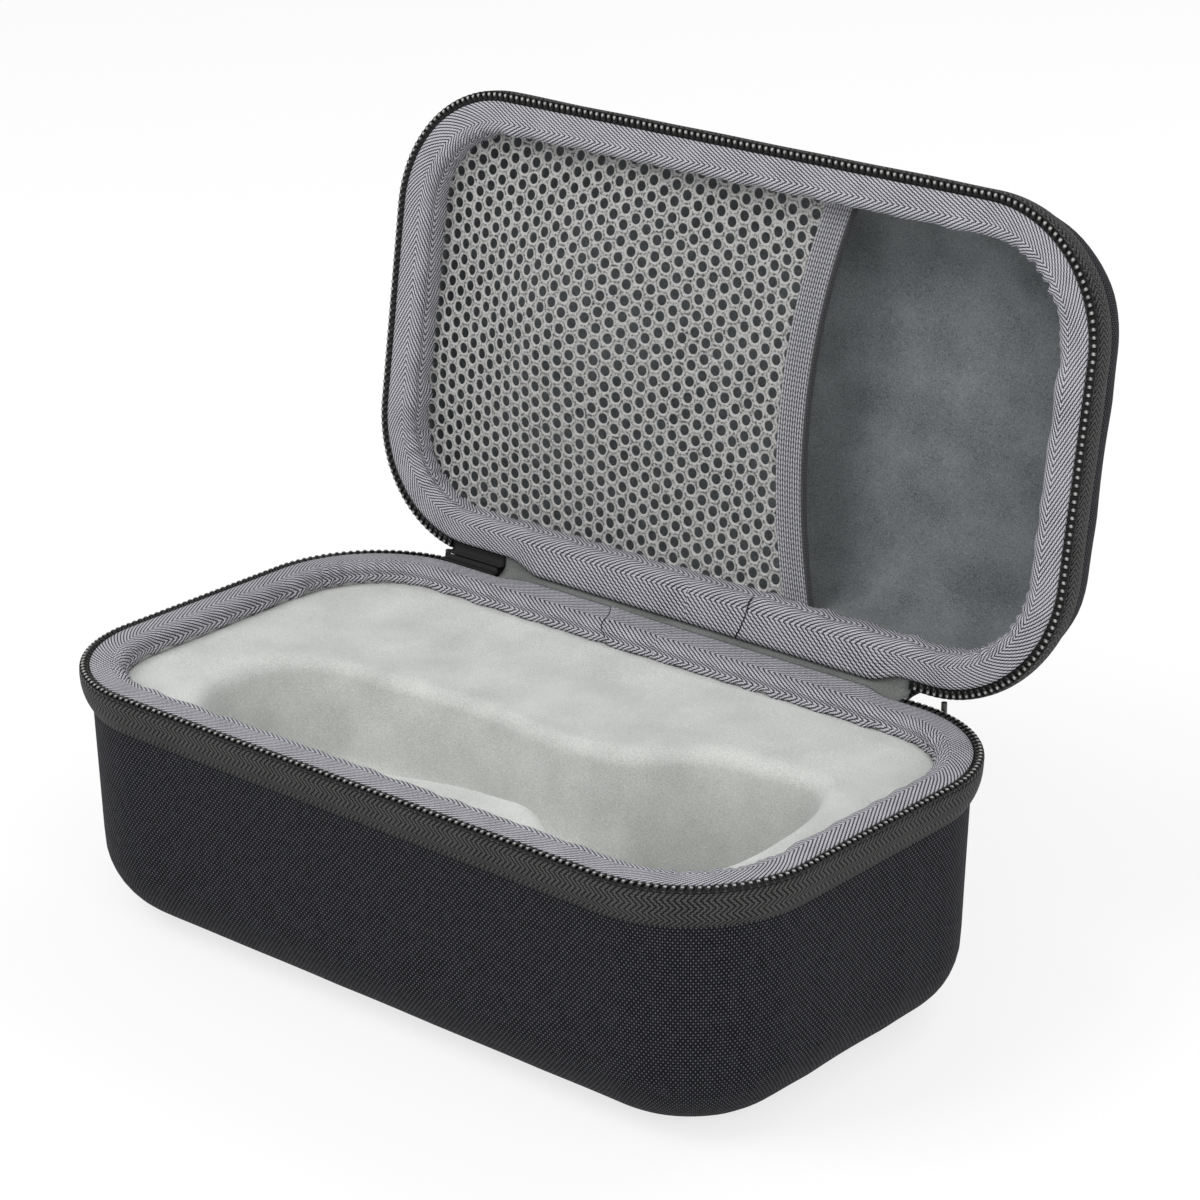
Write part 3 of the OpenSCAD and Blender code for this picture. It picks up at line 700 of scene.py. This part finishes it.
# %% Rim bindings
def binding_section(half, top, low, roll, thick):
    """The binding's closed section, with how many points lie on its flat, its bend and its leg."""
    inner = wall_x(half, wall_t, top) - thick
    outer = rim_r - skin_in
    section = [(outer, top - 0.15 * mm)]
    section += [(outer + (inner + roll - outer) * k / 8, top + 0.12 * mm * math.sin(math.pi * k / 8))
                for k in range(1, 8)]
    flat = len(section)
    bend = [math.radians(90 + 90 * k / 8) for k in range(9)]
    section += [(inner + roll + roll * math.cos(a), top - roll + roll * math.sin(a)) for a in bend]
    leg = round((top - roll - low) / (0.5 * mm))
    for k in range(1, leg + 1):
        z = top - roll + (low - top + roll) * k / leg
        section.append((wall_x(half, wall_t, z) - thick, z))
    section.append((wall_x(half, wall_t, low) - thick * 0.5, low - 0.25 * mm))
    section.append((wall_x(half, wall_t, low) - 0.1 * mm, low))
    section.append((wall_x(half, wall_t, top - thick) - 0.1 * mm, top - 2 * thick))
    section.append((outer - 0.2 * mm, top - thick))
    return section, flat, bend, leg


def binding(name, half, node):
    top = half["h"] - rim_gap
    low = top - half["drop"]
    roll, thick = 2.4 * mm, 1 * mm
    inner, outer = wall_x(half, wall_t, top) - thick, rim_r - skin_in
    section, flat, bend, leg = binding_section(half, top, low, roll, thick)
    rows = np.array(section + [section[0]])
    reach = lengths(rows)
    bend_end = flat + len(bend) - 1
    hem = bend_end + leg + 1
    face = np.zeros((len(rows), 2))
    face[1:flat] = (0, 1)
    face[flat:bend_end + 1] = [(math.cos(a), math.sin(a)) for a in bend]
    face[bend_end + 1:hem + 1] = (-1, 0)
    outwards = np.clip((rows[:, :1] - inner - roll) / (outer - inner - roll), 0, 1)
    joint = half["joint"]
    hinge_mid, hinge_half, hinge_fade, hinge_reach = 4 * mm, 66 * mm, 11 * mm, 3 * mm

    def puff(u, v):
        inside = np.clip((v - 4 * mm) / (5 * mm), 0, 1)
        x = np.where(u > rim_length / 2, u - rim_length, u)
        pinch = wobble(u, seed=21, low=110, high=190) * at_corners(u, 1.3) * 0.36 * mm
        soft = wobble(u, seed=22, low=30, high=90) * 0.16 * mm
        groove = 0.45 * mm * np.exp(-((v - reach[bend_end] - 0.5 * mm) / (0.7 * mm)) ** 2)
        past = x - joint[0] - (joint[1] - joint[0]) * (1 - outwards)
        step = 0.6 * mm * ease(past / (0.8 * mm) + 0.5)
        fold = step * np.exp(-np.maximum(past, 0) / (8 * mm)) * (np.abs(x) < 70 * mm)
        amount = (pinch + soft) * inside - groove + fold
        near_hem = np.clip((v - reach[hem] + 3 * mm) / (3 * mm), 0, 1) * (v < reach[hem] + 1.2 * mm)
        ripple = wobble(u, seed=23, low=40, high=120) * 0.3 * mm * near_hem
        at_hinge = hinge_reach * ease((hinge_half - np.abs(x - hinge_mid)) / hinge_fade) * outwards
        return amount * face[:, :1] + at_hinge, amount * face[:, 1:] + ripple

    piece = sweep(name, half, section, 1.2 * mm, None, puff)
    settle(piece, half["cloth"], half["body"], "binding", node)


binding("binding_base", base, "base_binding")
binding("binding_lid", lid, "lid_binding")


# %% [markdown]
# A coil zip is one nylon thread wound into loops, sewn along the tape's edge. Each loop is a short
# bent tube across the tape. One loop is made as a swept primitive, and its copies are laid round the
# rim at the zip's pitch. The lid's loops sit half a pitch on, so that the two rows mesh when shut.

# %% One loop of the coil
def tube(path, radius, sides, flat):
    """Points and faces of a tube along a path, flat times as wide as it is high, with closed ends."""
    path = np.array(path)
    ahead = np.gradient(path, axis=0)
    ahead /= np.linalg.norm(ahead, axis=1)[:, None]
    side = np.array([0.0, 1.0, 0.0])
    points = []
    for p, t in zip(path, ahead):
        up = np.cross(t, side)
        up /= np.linalg.norm(up)
        across = np.cross(up, t)
        for k in range(sides):
            a = 2 * math.pi * k / sides
            points.append(p + radius * (flat * math.cos(a) * across + math.sin(a) * up))
    faces = []
    for i in range(len(path) - 1):
        for k in range(sides):
            n = (k + 1) % sides
            faces.append((i * sides + k, i * sides + n, (i + 1) * sides + n, (i + 1) * sides + k))
    faces.append(tuple(range(sides - 1, -1, -1)))
    faces.append(tuple((len(path) - 1) * sides + k for k in range(sides)))
    return np.array(points), faces


loop_path = [(-2.0, -0.55, -1.5), (-2.05, -0.4, -0.9), (-1.7, -0.25, -0.45), (-1.1, -0.05, -0.25),
             (-0.5, 0.15, -0.22), (-0.1, 0.28, -0.45), (0.05, 0.38, -0.95), (0.0, 0.45, -1.5)]
loop_sides = 6
loop_points, loop_faces = tube(np.array(loop_path) * mm, 0.38 * mm, loop_sides, 1.5)
# How strong the painted highlight is at each point along the loop's path, brightest at its bend.
ring_highlight = [0, 0, 0, 0.35, 1, 0.1, 0.5, 0]
around = [math.sin(math.radians(360 // loop_sides * k)) for k in range(loop_sides)]
loop_highlight = [c * max(0, up) for c in ring_highlight for up in around]
print("faces in a loop:", len(loop_faces))

# %% [markdown]
# The loops are copied into one mesh, each set square to the rim at its own place, and are joined with the
# flat cord that is sewn under them. Each point carries a mark of how high it lies on its crown, which sets
# how strong the painted highlight is there.

# %% The two rows of loops
coil_pitch, coil_in, coil_low = 2 * mm, 0.55 * mm, 0.2 * mm
cord_inner, cord_outer, cord_low = 2.7 * mm, 0.35 * mm, 0.75 * mm
fine_line = rim_line(0.25 * mm)


def rim_spot(s):
    """Anchor, outward direction and way ahead at distance s round the rim from the hinge's middle."""
    anchors, ways, dist = fine_line
    anchor = np.array([np.interp(s, dist, anchors[:, k]) for k in (0, 1)])
    way = np.array([np.interp(s, dist, ways[:, k]) for k in (0, 1)])
    way = way / np.linalg.norm(way)
    return anchor, way, np.array([way[1], -way[0]])


def from_points(name, points, faces, mark, values):
    """A piece made of given points and faces, with one marked value at each point."""
    mesh = bpy.data.meshes.new(name)
    mesh.from_pydata(points, [], faces)
    layer = mesh.attributes.new(mark, "FLOAT", "POINT")
    layer.data.foreach_set("value", np.array(values, np.float32))
    piece = bpy.data.objects.new(name, mesh)
    bpy.context.scene.collection.objects.link(piece)
    return piece


def coil(name, half, node, first):
    start, end = hinge_right, rim_length - hinge_left - tail_len
    places = np.arange(start + first, end, coil_pitch)
    points, faces = [], []
    for s in places:
        anchor, way, along = rim_spot(s)
        r = rim_r - coil_in + loop_points[:, 0]
        xy = anchor + r[:, None] * way + loop_points[:, 1:2] * along
        offset = len(points) * len(loop_points)
        points.append(np.column_stack([xy, half["h"] - coil_low + loop_points[:, 2]]))
        faces += [tuple(i + offset for i in f) for f in loop_faces]
    placed = half["place"](np.concatenate(points))
    # Each loop's points carry the mark for the painted highlight on its crown.
    loops = from_points(name, placed, faces, "crown_highlight", loop_highlight * len(places))
    inner, outer = rim_r - cord_inner, rim_r - cord_outer
    z0, z1 = half["h"] - tape_top - 0.02 * mm, half["h"] - cord_low
    section = [(inner, z1), (outer, z1), (outer, z0), (inner, z0)]
    cord = sweep(name + "_cord", half, section, 2 * mm, (start, end))
    pick(loops, cord)
    bpy.ops.object.join()
    close_up(loops, weld=False)
    bpy.ops.object.shade_smooth_by_angle(angle=math.radians(60))
    print(name, "loops:", len(places))
    settle(loops, coil_nylon, half["body"], "zip_nylon", node)


coil("coil_base", base, "base_zip_teeth", 1 * mm)
coil("coil_lid", lid, "lid_zip_teeth", 2 * mm)


# %% [markdown]
# The nest tray is one moulded sheet under plush. Its rows run from its outer edge over the deck, round
# the soft lip, down the wall, round to the floor and in to the nest's middle line, where the two long
# sides meet and are welded. The nest's half widths and depths are given in millimetres.

# %% Outline of the nest
nest_turn, nest_y = math.radians(4.7), -24 * mm
deck_z = 62.4 * mm
tray_edge = 24.956 * mm
nest_left = corner_x + tray_edge - 25 * mm
nest_length = (2 * (corner_x + tray_edge) - 38.5 * mm) / math.cos(nest_turn)
cap_len, end_len, end_power = 22 * mm, 14 * mm, 2.4
wide, narrow, broad_end = 25, 17.5, 32
shallow, deep = 32, 50.8
neck_from, neck_run = 110 * mm, 38 * mm
broad_from, broad_run = 60 * mm, 26 * mm
deep_from, deep_run = 72 * mm, 38 * mm


def nest_half_width(s):
    """Half width at distance s from the nest's left end: wide, then a neck, then a broader end."""
    from_end = nest_length - s
    neck = ease((neck_from - from_end) / neck_run)
    broad = ease((broad_from - from_end) / broad_run)
    width = (wide * (1 - neck) + narrow * neck) * (1 - broad) + broad_end * broad
    left = np.sqrt(np.clip(1 - (np.clip(cap_len - s, 0, cap_len) / cap_len) ** 2, 0, 1))
    over = np.clip(s - nest_length + end_len, 0, end_len) / end_len
    right = np.clip(1 - over ** end_power, 0, 1) ** (1 / end_power)
    return width * mm * left * right


def nest_depth(s):
    """Depth of the nest's floor below the deck, greater under its broad end."""
    down = ease((deep_from - (nest_length - s)) / deep_run)
    return (shallow * (1 - down) + deep * down) * mm


cap = 1 - np.cos(np.linspace(0, math.pi / 2, 15)[:-1])
last = np.sin(np.linspace(0, math.pi / 2, 13)[1:]) ** (2 / end_power)
line_s = np.concatenate([cap * cap_len, np.linspace(cap_len, nest_length - end_len, 50),
                         nest_length - end_len + end_len * last])
far_s, near_s = line_s, line_s[-2:0:-1]
ring_s = np.concatenate([far_s, near_s])
ring_w = np.concatenate([nest_half_width(far_s), -nest_half_width(near_s)])
print("points round the nest:", len(ring_s), "length:", round(nest_length / mm, 1))


# %% [markdown]
# Each row is the outline moved out or in by some distance and dropped by some depth. The deck's rows
# run from the lip to where rays from the nest's middle line meet the tray's outer edge, so that no two
# rays cross.

# %% Rows of the tray
def nest_xy(s, w):
    """Turns distance along the nest and distance from its middle line into x and y."""
    c, t = math.cos(nest_turn), math.sin(nest_turn)
    return np.stack([-nest_left + s * c - w * t, nest_y + s * t + w * c], axis=1)


ahead = np.roll(ring_s, -1) - np.roll(ring_s, 1), np.roll(ring_w, -1) - np.roll(ring_w, 1)
norm = np.hypot(*ahead)
out_s, out_w = -ahead[1] / norm, ahead[0] / norm


def ring(out, drop):
    """The nest's outline moved outwards and dropped below the deck."""
    xy = nest_xy(ring_s + out * out_s, ring_w + out * out_w)
    return np.column_stack([xy, deck_z - drop * np.ones(len(xy))])


def edge_hit(start, way):
    """Where a ray from the nest meets the tray's outer edge, a rounded rectangle."""
    t = 0.0
    for _ in range(60):
        p = start + way * t
        q = np.abs(p) - np.array([corner_x, corner_y])
        gap = tray_edge - (math.hypot(*np.maximum(q, 0)) + min(max(q[0], q[1]), 0))
        if gap < 1e-6:
            break
        t += gap * 0.9
    return start + way * t


lip_r, nest_fillet, slope = 5 * mm, 7 * mm, 2 * mm
lip = ring(lip_r, 0)
middle = np.clip(ring_s, 24 * mm, nest_length - 30 * mm)
spread = nest_xy(ring_s, ring_w) - nest_xy(middle, 0 * ring_w)
spread /= np.linalg.norm(spread, axis=1)[:, None]
rim = np.array([edge_hit(p, d) for p, d in zip(lip[:, :2], spread)])
rows = []
for k in range(9):
    t = k / 8
    rows.append(np.column_stack([rim * (1 - t) + lip[:, :2] * t, np.full(len(rim), deck_z)]))
for k in range(1, 8):
    a = math.pi / 2 * k / 7
    rows.append(ring(lip_r - lip_r * math.sin(a), lip_r - lip_r * math.cos(a)))
depth = nest_depth(ring_s)
for k in range(1, 6):
    t = k / 6
    rows.append(ring(-slope * t, lip_r + (depth - lip_r - nest_fillet) * t))
for k in range(8):
    a = math.pi / 2 * k / 7
    out = nest_fillet * math.cos(a) - slope - nest_fillet
    rows.append(ring(out, depth - nest_fillet + nest_fillet * math.sin(a)))
inner_s = ring_s - (slope + nest_fillet) * out_s
inner_w = ring_w - (slope + nest_fillet) * out_w
for k in range(1, 6):
    xy = nest_xy(inner_s, inner_w * (1 - k / 5))
    rows.append(np.column_stack([xy, deck_z - depth]))
tray_rows = np.array(rows)
print("rows of the tray:", len(tray_rows))

# %% [markdown]
# Plush on moulded foam is never dead flat. The deck sinks a little on its far side, and one level of
# subdivision rounds what the rows leave faceted, before the sheet is given its thickness downwards.

# %% The tray with its soft deck
def soften(points):
    """Lets the deck sink a little towards the nest on its far side, and gives the plush a slow swell."""
    x, y = points[:, 0], points[:, 1]
    from_edge = np.clip((tray_edge + corner_y - np.abs(y)) / (14 * mm), 0, 1)
    far = ease((y + 8 * mm) / (20 * mm)) * ease((40 * mm - x) / (40 * mm)) * ease((x + 98 * mm) / (20 * mm))
    far_sink, sink = 2.4 * mm, 0.5 * mm
    near_deck = ease((points[:, 2] - deck_z + 12 * mm) / (10 * mm))
    swell = 0.25 * mm * np.sin(x / (17 * mm) + 1) * np.sin(y / (13 * mm))
    points = points.copy()
    points[:, 2] -= near_deck * ((far_sink * far + sink) * ease(from_edge) - swell * from_edge)
    return points


closed = np.concatenate([tray_rows, tray_rows[:, :1]], axis=1)
soft = soften(closed.reshape(-1, 3)).reshape(closed.shape)
around = np.linspace(0, 0.5, closed.shape[1])
tray = start_grid("nest_plush", soft, around, lengths(closed[:, 20]))
close_up(tray)
turn_over(tray, Vector((0, 0, 1)))
smooth = tray.modifiers.new("smooth", "SUBSURF")
smooth.levels = smooth.render_levels = 1
bpy.ops.object.modifier_apply(modifier=smooth.name)
thicken(tray, 2 * mm, -1)
settle(tray, tray_plush, "base", "plush_light", "nest_tray")

# %% [markdown]
# The pocket's air mesh is a knitted sheet full of round holes in staggered rows. It is sewn down along
# the lid's wall, and its open edge bows in towards the middle. Points past the sewn edge are drawn in
# to it.

# %% Outline of the pocket
board_t, edge_middle, edge_bow = 0.8 * mm, 26 * mm, 8 * mm
mesh_low = lid_h - rim_gap - lid["drop"] - board_t
mesh_edge = wall_x(lid, wall_t, mesh_low) - 0.2 * mm
pocket_half = corner_y + mesh_edge


def edge_x(y):
    """Left side of the pocket's open edge at y: it bows in towards the middle."""
    return edge_middle - edge_bow * (1 - (y / pocket_half) ** 2)


def into_pocket(x, y, past):
    """Draws points that lie outside the pocket's outline in to it."""
    qx, qy = np.maximum(-corner_x - x, 0), np.maximum(np.abs(y) - corner_y, 0)
    reach = np.maximum(np.hypot(qx, qy), 1e-9)
    pull = np.minimum(1, mesh_edge / reach)
    x = np.where(x < -corner_x, -corner_x - qx * pull, x)
    y = np.where(np.abs(y) > corner_y, np.sign(y) * (corner_y + qy * pull), y)
    return np.minimum(x, edge_x(y) + past), y

print("pocket:", round(2 * pocket_half / mm, 1), "mm high")


# %% [markdown]
# One cell is a hexagon with a round hole, and the cells are laid edge to edge so that they can be welded
# into a real net. Each hole has a pale rim, which its points are marked for.

# %% Cells of the net
cell, hole = 4.32 * mm, 1.42 * mm
sides = 12
turns = [math.radians(30 * k) for k in range(sides)]
hexagon = [cell / 2 / math.cos((t + math.pi / 6) % (math.pi / 3) - math.pi / 6) for t in turns]
column = cell * math.sqrt(3) / 2
lattice = []
for i in range(-60, 20):
    for j in range(-20, 21):
        x, y = i * column, (j + (i % 2) / 2) * cell
        outside = math.hypot(max(-corner_x - x, 0), max(abs(y) - corner_y, 0)) > mesh_edge + 0.4 * cell
        if not outside and x < edge_x(y) + 0.3 * cell and x > -corner_x - mesh_edge - 0.4 * cell:
            lattice.append((x, y))
ring_levels = [(1.0, 0.0), (0.35, 0.0), (0.0, -0.16 * mm)]
points, faces, rims = [], [], []
for x, y in lattice:
    start = len(points)
    for level, (outwards, sink) in enumerate(ring_levels):
        for t, h in zip(turns, hexagon):
            r = hole + (h - hole) * outwards
            points.append((x + r * math.sin(t), y + r * math.cos(t), sink))
            rims.append(1.0 if level else 0.0)
    for level in range(len(ring_levels) - 1):
        for k in range(sides):
            a, b = start + level * sides + k, start + level * sides + (k + 1) % sides
            faces.append((a, b, b + sides, a + sides))
points = np.array(points)
print("holes in the net:", len(lattice))


# %% [markdown]
# The net bulges as it does in use: a slow swell, creases drawn from its corners, and one higher peak
# where something has lain. Cells that the sewn edge squeezed flat are dropped before the weld.

# %% The net, swollen and welded
swell_h, crease_h, peak_h, fold_h = 3.8 * mm, 0.6 * mm, 2.6 * mm, 0.6 * mm
net_run, peak_x, peak_y = 104 * mm, -58 * mm, -4 * mm


def net_lift(x, y):
    """How far the net stands out of its plane."""
    across = np.clip((x + corner_x + mesh_edge) / net_run, 0, 1)
    swell = swell_h * np.sin(math.pi * across) * np.cos(y / pocket_half * math.pi / 2)
    crease = crease_h * np.sin((x * 0.9 + y * 0.5) / (11 * mm)) * np.sin(math.pi * across)
    peak = np.exp(-((x - peak_x) / (20 * mm)) ** 2 - ((y - peak_y) / (24 * mm)) ** 2)
    crease = crease + peak_h * peak
    rim_fold = fold_h * np.sin(y / (9 * mm) + 0.5) * np.exp(-((across - 0.06) / 0.07) ** 2)
    return swell + crease + rim_fold


net_x, net_y = into_pocket(points[:, 0], points[:, 1], 0.5 * mm)
quads = np.array(faces)
wide_x, wide_y = net_x[quads], net_y[quads]
areas = (wide_x * np.roll(wide_y, -1, axis=1) - np.roll(wide_x, -1, axis=1) * wide_y).sum(axis=1) / 2
smallest = 0.004 * mm * mm
faces = quads[np.abs(areas) > smallest].tolist()
lift = net_lift(net_x, net_y)
front = np.column_stack([net_x, net_y, mesh_low + board_t + points[:, 2] + lift])
net = from_points("pocket_net", swing_open(front), faces, "hole_edge", rims)
pick(net)
bpy.ops.object.mode_set(mode="EDIT")
bpy.ops.mesh.select_all(action="SELECT")
bpy.ops.mesh.delete_loose()
bpy.ops.mesh.select_all(action="SELECT")
bpy.ops.mesh.remove_doubles(threshold=0.00001)
bpy.ops.mesh.normals_make_consistent(inside=False)
bpy.ops.object.mode_set(mode="OBJECT")
lid_out = Vector(swing_open(np.array([[0, 0, lid_h]]))[0] - swing_open(np.array([[0, 0, 0.0]]))[0])
turn_over(net, lid_out)
thicken(net, 0.75 * mm, -1)
bpy.ops.object.shade_smooth()
settle(net, net_yarn, "lid", "mesh", "pocket_mesh")


# %% [markdown]
# The pocket's open edge is a knitted elastic with a dark piped edge. Both follow the same bow, and
# both lie on the swollen net, so they use the net's own rise.

# %% Elastic and piping
def edge_strip(name, section, mat, slot, node):
    """Carries a closed section [(distance from the edge line, height)] along the pocket's open edge."""
    ys = np.linspace(-pocket_half, pocket_half, 70)
    rows = np.array(section + [section[0]])
    x = edge_x(ys)[None, :] + rows[:, :1]
    rise = net_lift(edge_x(ys), ys) * 0.4
    z = mesh_low + board_t + rows[:, 1:] + rise[None, :]
    y = np.repeat(ys[None, :], len(rows), axis=0)
    points = np.stack([x, y, z], axis=2)
    points = swing_open(points.reshape(-1, 3)).reshape(points.shape)
    piece = start_grid(name, points, ys + pocket_half, lengths(rows))
    close_up(piece, fill=True)
    settle(piece, mat, "lid", slot, node)


ribs, elastic_w, cord_r = 10, 8 * mm, 0.8 * mm
top_line = [(elastic_w * k / (2 * ribs), (0.35 + (0.12 if k % 2 else 0.0)) * mm) for k in range(2 * ribs + 1)]
edge_strip("elastic_edge", top_line + [(elastic_w, -cord_r), (0, -cord_r)],
           elastic_knit, "elastic", "pocket_elastic")
turns = [math.radians(a) for a in range(0, 360, 36)]
round_section = [(8.8 * mm + cord_r * math.cos(a), cord_r * math.sin(a)) for a in turns]
edge_strip("piped_edge", round_section, piping_thread, "piping", "pocket_piping")


# %% [markdown]
# The hinge is cloth: one strip outside and one liner inside, each sewn to both halves. Each is one bent sheet
# here, laid in its open shape and fixed there; it rides on neither body.

# %% Hinge strip and liner
def bent_strip(name, profile, thick, ends, mat, slot, start, end, *replaced):
    """A strip along the hinge, following a profile [(y, z)] in millimetres from the base to the lid."""
    xs = np.linspace(ends[0], ends[1], 60)
    rows = np.array([(y * mm, z * mm) for y, z in profile])
    fine = np.linspace(0, len(rows) - 1, 8 * (len(rows) - 1) + 1)
    rows = np.column_stack([np.interp(fine, range(len(rows)), rows[:, k]) for k in (0, 1)])
    for _ in range(6):
        rows[1:-1] = (rows[:-2] + 2 * rows[1:-1] + rows[2:]) / 4
    points = np.zeros((len(rows), len(xs), 3))
    points[:, :, 0] = xs
    points[:, :, 1] = rows[:, :1]
    points[:, :, 2] = rows[:, 1:]
    piece = start_grid(name, points, xs + hinge_left, lengths(rows))
    close_up(piece, weld=False, outward=False)
    thicken(piece, thick, 0)
    bpy.ops.object.shade_smooth()
    dress(piece, mat)
    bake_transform(piece)
    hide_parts(*replaced)
    return piece


outer_profile = [(62.2, 56.9), (63.8, 58.5), (64.3, 62.0), (64.7, 64.6), (65.6, 66.2), (67.2, 66.75),
                 (71.0, 66.7), (74.5, 66.2), (75.8, 64.8)]
inner_profile = [(59.9, 66.1), (63.4, 66.2), (65.0, 66.9), (66.2, 68.2), (66.5, 70.0), (66.7, 72.6)]
bent_strip("hinge_strip", outer_profile, 0.7 * mm, (-hinge_left - 6.5 * mm, hinge_right - 0.15 * mm),
           hinge_cloth, "hinge_fabric", (0, 64.6 * mm, 64.8 * mm), (0, 67.0 * mm, 66.9 * mm),
           "hinge_strip_base", "hinge_strip_lid")
bent_strip("hinge_liner", inner_profile, 0.6 * mm, (-hinge_left + 0.15 * mm, hinge_right - 0.15 * mm),
           liner_plush, "hinge_liner", (0, 63.6 * mm, 66.3 * mm), (0, 66.3 * mm, 69.0 * mm),
           "hinge_liner_base", "hinge_liner_lid")


# %% [markdown]
# Past the coil the tape ends in a bare folded strip. The base's end carries a low lip inside the
# lid's, so that the two overlap like shingles. No light shows between them at rest, but the real cloth
# would stretch where these two part by a hair when the lid is thrown wide open.

# %% Bare ends of the tape
def tail(name, half, node):
    """The last stretch of tape past the coil, folded into a hard square end."""
    h, lip, flat = half["h"], half["lip"], half["flat"]
    inner, foot, crest = 33.4, -1.62, 0.75
    section = [(inner, foot), (inner, flat - 0.2), (inner + 0.5, flat), (lip - 0.1, flat), (lip, crest),
               (lip + 0.55, crest), (lip + 0.65, foot)]
    section = [(r * mm, h + z * mm) for r, z in section]
    end = rim_length - hinge_left
    piece = sweep(name, half, section, mm, (end - tail_len, end + 0.5 * mm))
    settle(piece, tail_nylon, half["body"], "zip_tape", node)


tail("tape_end_base", base, "base_zip_end")
tail("tape_end_lid", lid, "lid_zip_end")


# %% [markdown]
# The sliders and pulls are cast metal. Their solids have the right shape already, but cast edges are
# never sharp, so each gets a welded copy with its edges rounded by a bevel.

# %% Sliders and pulls
def cast(name, node, width):
    piece = nodes[node].copy()
    piece.data = nodes[node].data.copy()
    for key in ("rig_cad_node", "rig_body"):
        if key in piece:
            del piece[key]
    piece.name = name
    piece.parent = None
    bpy.context.scene.collection.objects.link(piece)
    pick(piece)
    bpy.ops.object.mode_set(mode="EDIT")
    bpy.ops.mesh.select_all(action="SELECT")
    bpy.ops.mesh.remove_doubles(threshold=0.000005)
    bpy.ops.mesh.dissolve_limited(angle_limit=math.radians(2))
    bpy.ops.object.mode_set(mode="OBJECT")
    mod = piece.modifiers.new("edges", "BEVEL")
    mod.width, mod.segments, mod.limit_method = width, 2, "ANGLE"
    mod.angle_limit = math.radians(35)
    bpy.ops.object.modifier_apply(modifier=mod.name)
    bpy.ops.object.shade_smooth_by_angle(angle=math.radians(40))
    settle(piece, slider_metal, node, "slider_metal", node)


for node in ("slider_left", "pull_left", "slider_right", "pull_right"):
    cast(node.replace("_", "_cast_"), node, 0.2 * mm)

# %% [markdown]
# What is left of the frame shows little: foam inside the walls and plush behind the pocket. These
# keep their own solids and only take a finish.

# %% Finishes of the solids that stay
kept = {"base_shell": foam, "lid_shell": foam, "base_lining": tray_plush, "lid_lining": lid_plush}
for node, mat in kept.items():
    dress(nodes[node], mat)
print("solids kept:", sorted(kept))

# %% [markdown]
# The stage is a pale floor that reads white to the camera, under a soft even sky with a broad key light
# and two weaker ones. The camera stands where the photo was taken from.

# %% Floor and light
bpy.ops.mesh.primitive_plane_add(size=12, location=(0, 0, 0))
floor = bpy.context.object
floor.name = "floor"
floor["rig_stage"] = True
floor_mat, tree, shader = start_material("floor", (0.9, 0.9, 0.9), 0.9)
path = tree.nodes.new("ShaderNodeLightPath")
glow = tree.nodes.new("ShaderNodeEmission")
glow.inputs["Strength"].default_value = 1.0
blend_in = tree.nodes.new("ShaderNodeMixShader")
seen = calc(tree, "MAXIMUM", path.outputs["Is Camera Ray"], path.outputs["Is Glossy Ray"])
tree.links.new(calc(tree, "MULTIPLY", seen, 0.75), blend_in.inputs[0])
tree.links.new(shader.outputs[0], blend_in.inputs[1])
tree.links.new(glow.outputs[0], blend_in.inputs[2])
tree.links.new(blend_in.outputs[0], tree.nodes["Material Output"].inputs[0])
dress(floor, floor_mat)

world = bpy.data.worlds.new("studio")
bpy.context.scene.world = world
world.use_nodes = True
sky = world.node_tree.nodes["Background"]
sky.inputs["Color"].default_value = (1, 1, 1, 1)
sky.inputs["Strength"].default_value = 0.62


def softbox(name, place, aim, size, power):
    bpy.ops.object.light_add(type="AREA", location=place)
    lamp = bpy.context.object
    lamp.name = name
    lamp.data.shape = "SQUARE"
    lamp.data.size = size
    lamp.data.energy = power
    lamp.rotation_euler = (Vector(aim) - Vector(place)).to_track_quat("-Z", "Y").to_euler()


softbox("key", place=(-0.7, -0.9, 1.5), aim=(0, 0, 0.06), size=1.0, power=16)
softbox("fill", place=(1.3, -0.8, 0.9), aim=(0, 0, 0.08), size=1.2, power=11)
softbox("back", place=(0.2, 1.2, 1.3), aim=(0, 0, 0.1), size=0.9, power=7)

# %% [markdown]
# The camera's place was found from the outlines of the two rims. Its angles are turned into three
# axes, which go into its matrix with its place, so that nothing depends on the image's size.

# %% Camera
azimuth, elevation, roll = math.radians(40.88), math.radians(21.42), math.radians(-0.38)
eye = Vector((0.565345, -0.621749, 0.423982))
back = Vector((math.sin(azimuth) * math.cos(elevation), -math.cos(azimuth) * math.cos(elevation),
               math.sin(elevation)))
right = Vector((math.cos(azimuth), math.sin(azimuth), 0))
up = back.cross(right)
right, up = right * math.cos(roll) + up * math.sin(roll), up * math.cos(roll) - right * math.sin(roll)
camera = bpy.data.objects.new("camera", bpy.data.cameras.new("camera"))
bpy.context.scene.collection.objects.link(camera)
axes = [(right[k], up[k], back[k], eye[k]) for k in range(3)]
camera.matrix_world = Matrix((*axes, (0, 0, 0, 1)))
camera.data.sensor_width = 36
camera.data.lens = 110.1
bpy.context.scene.camera = camera
bpy.context.scene.view_settings.view_transform = "Standard"
print("camera stands", round(eye.length, 2), "m from the object's foot")

# %% [markdown]
# Fabric may stand a little proud of the plain solids, but not much. The dressed box is measured, and how much
# it grew over the frame's box is printed.

# %% Keep both boxes and print the growth
bpy.context.view_layer.update()
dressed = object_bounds()
growth = (dressed[1] - dressed[0]) - (cad_box[1] - cad_box[0])
print("visual model grew by", [round(side / mm, 2) for side in growth], "mm")
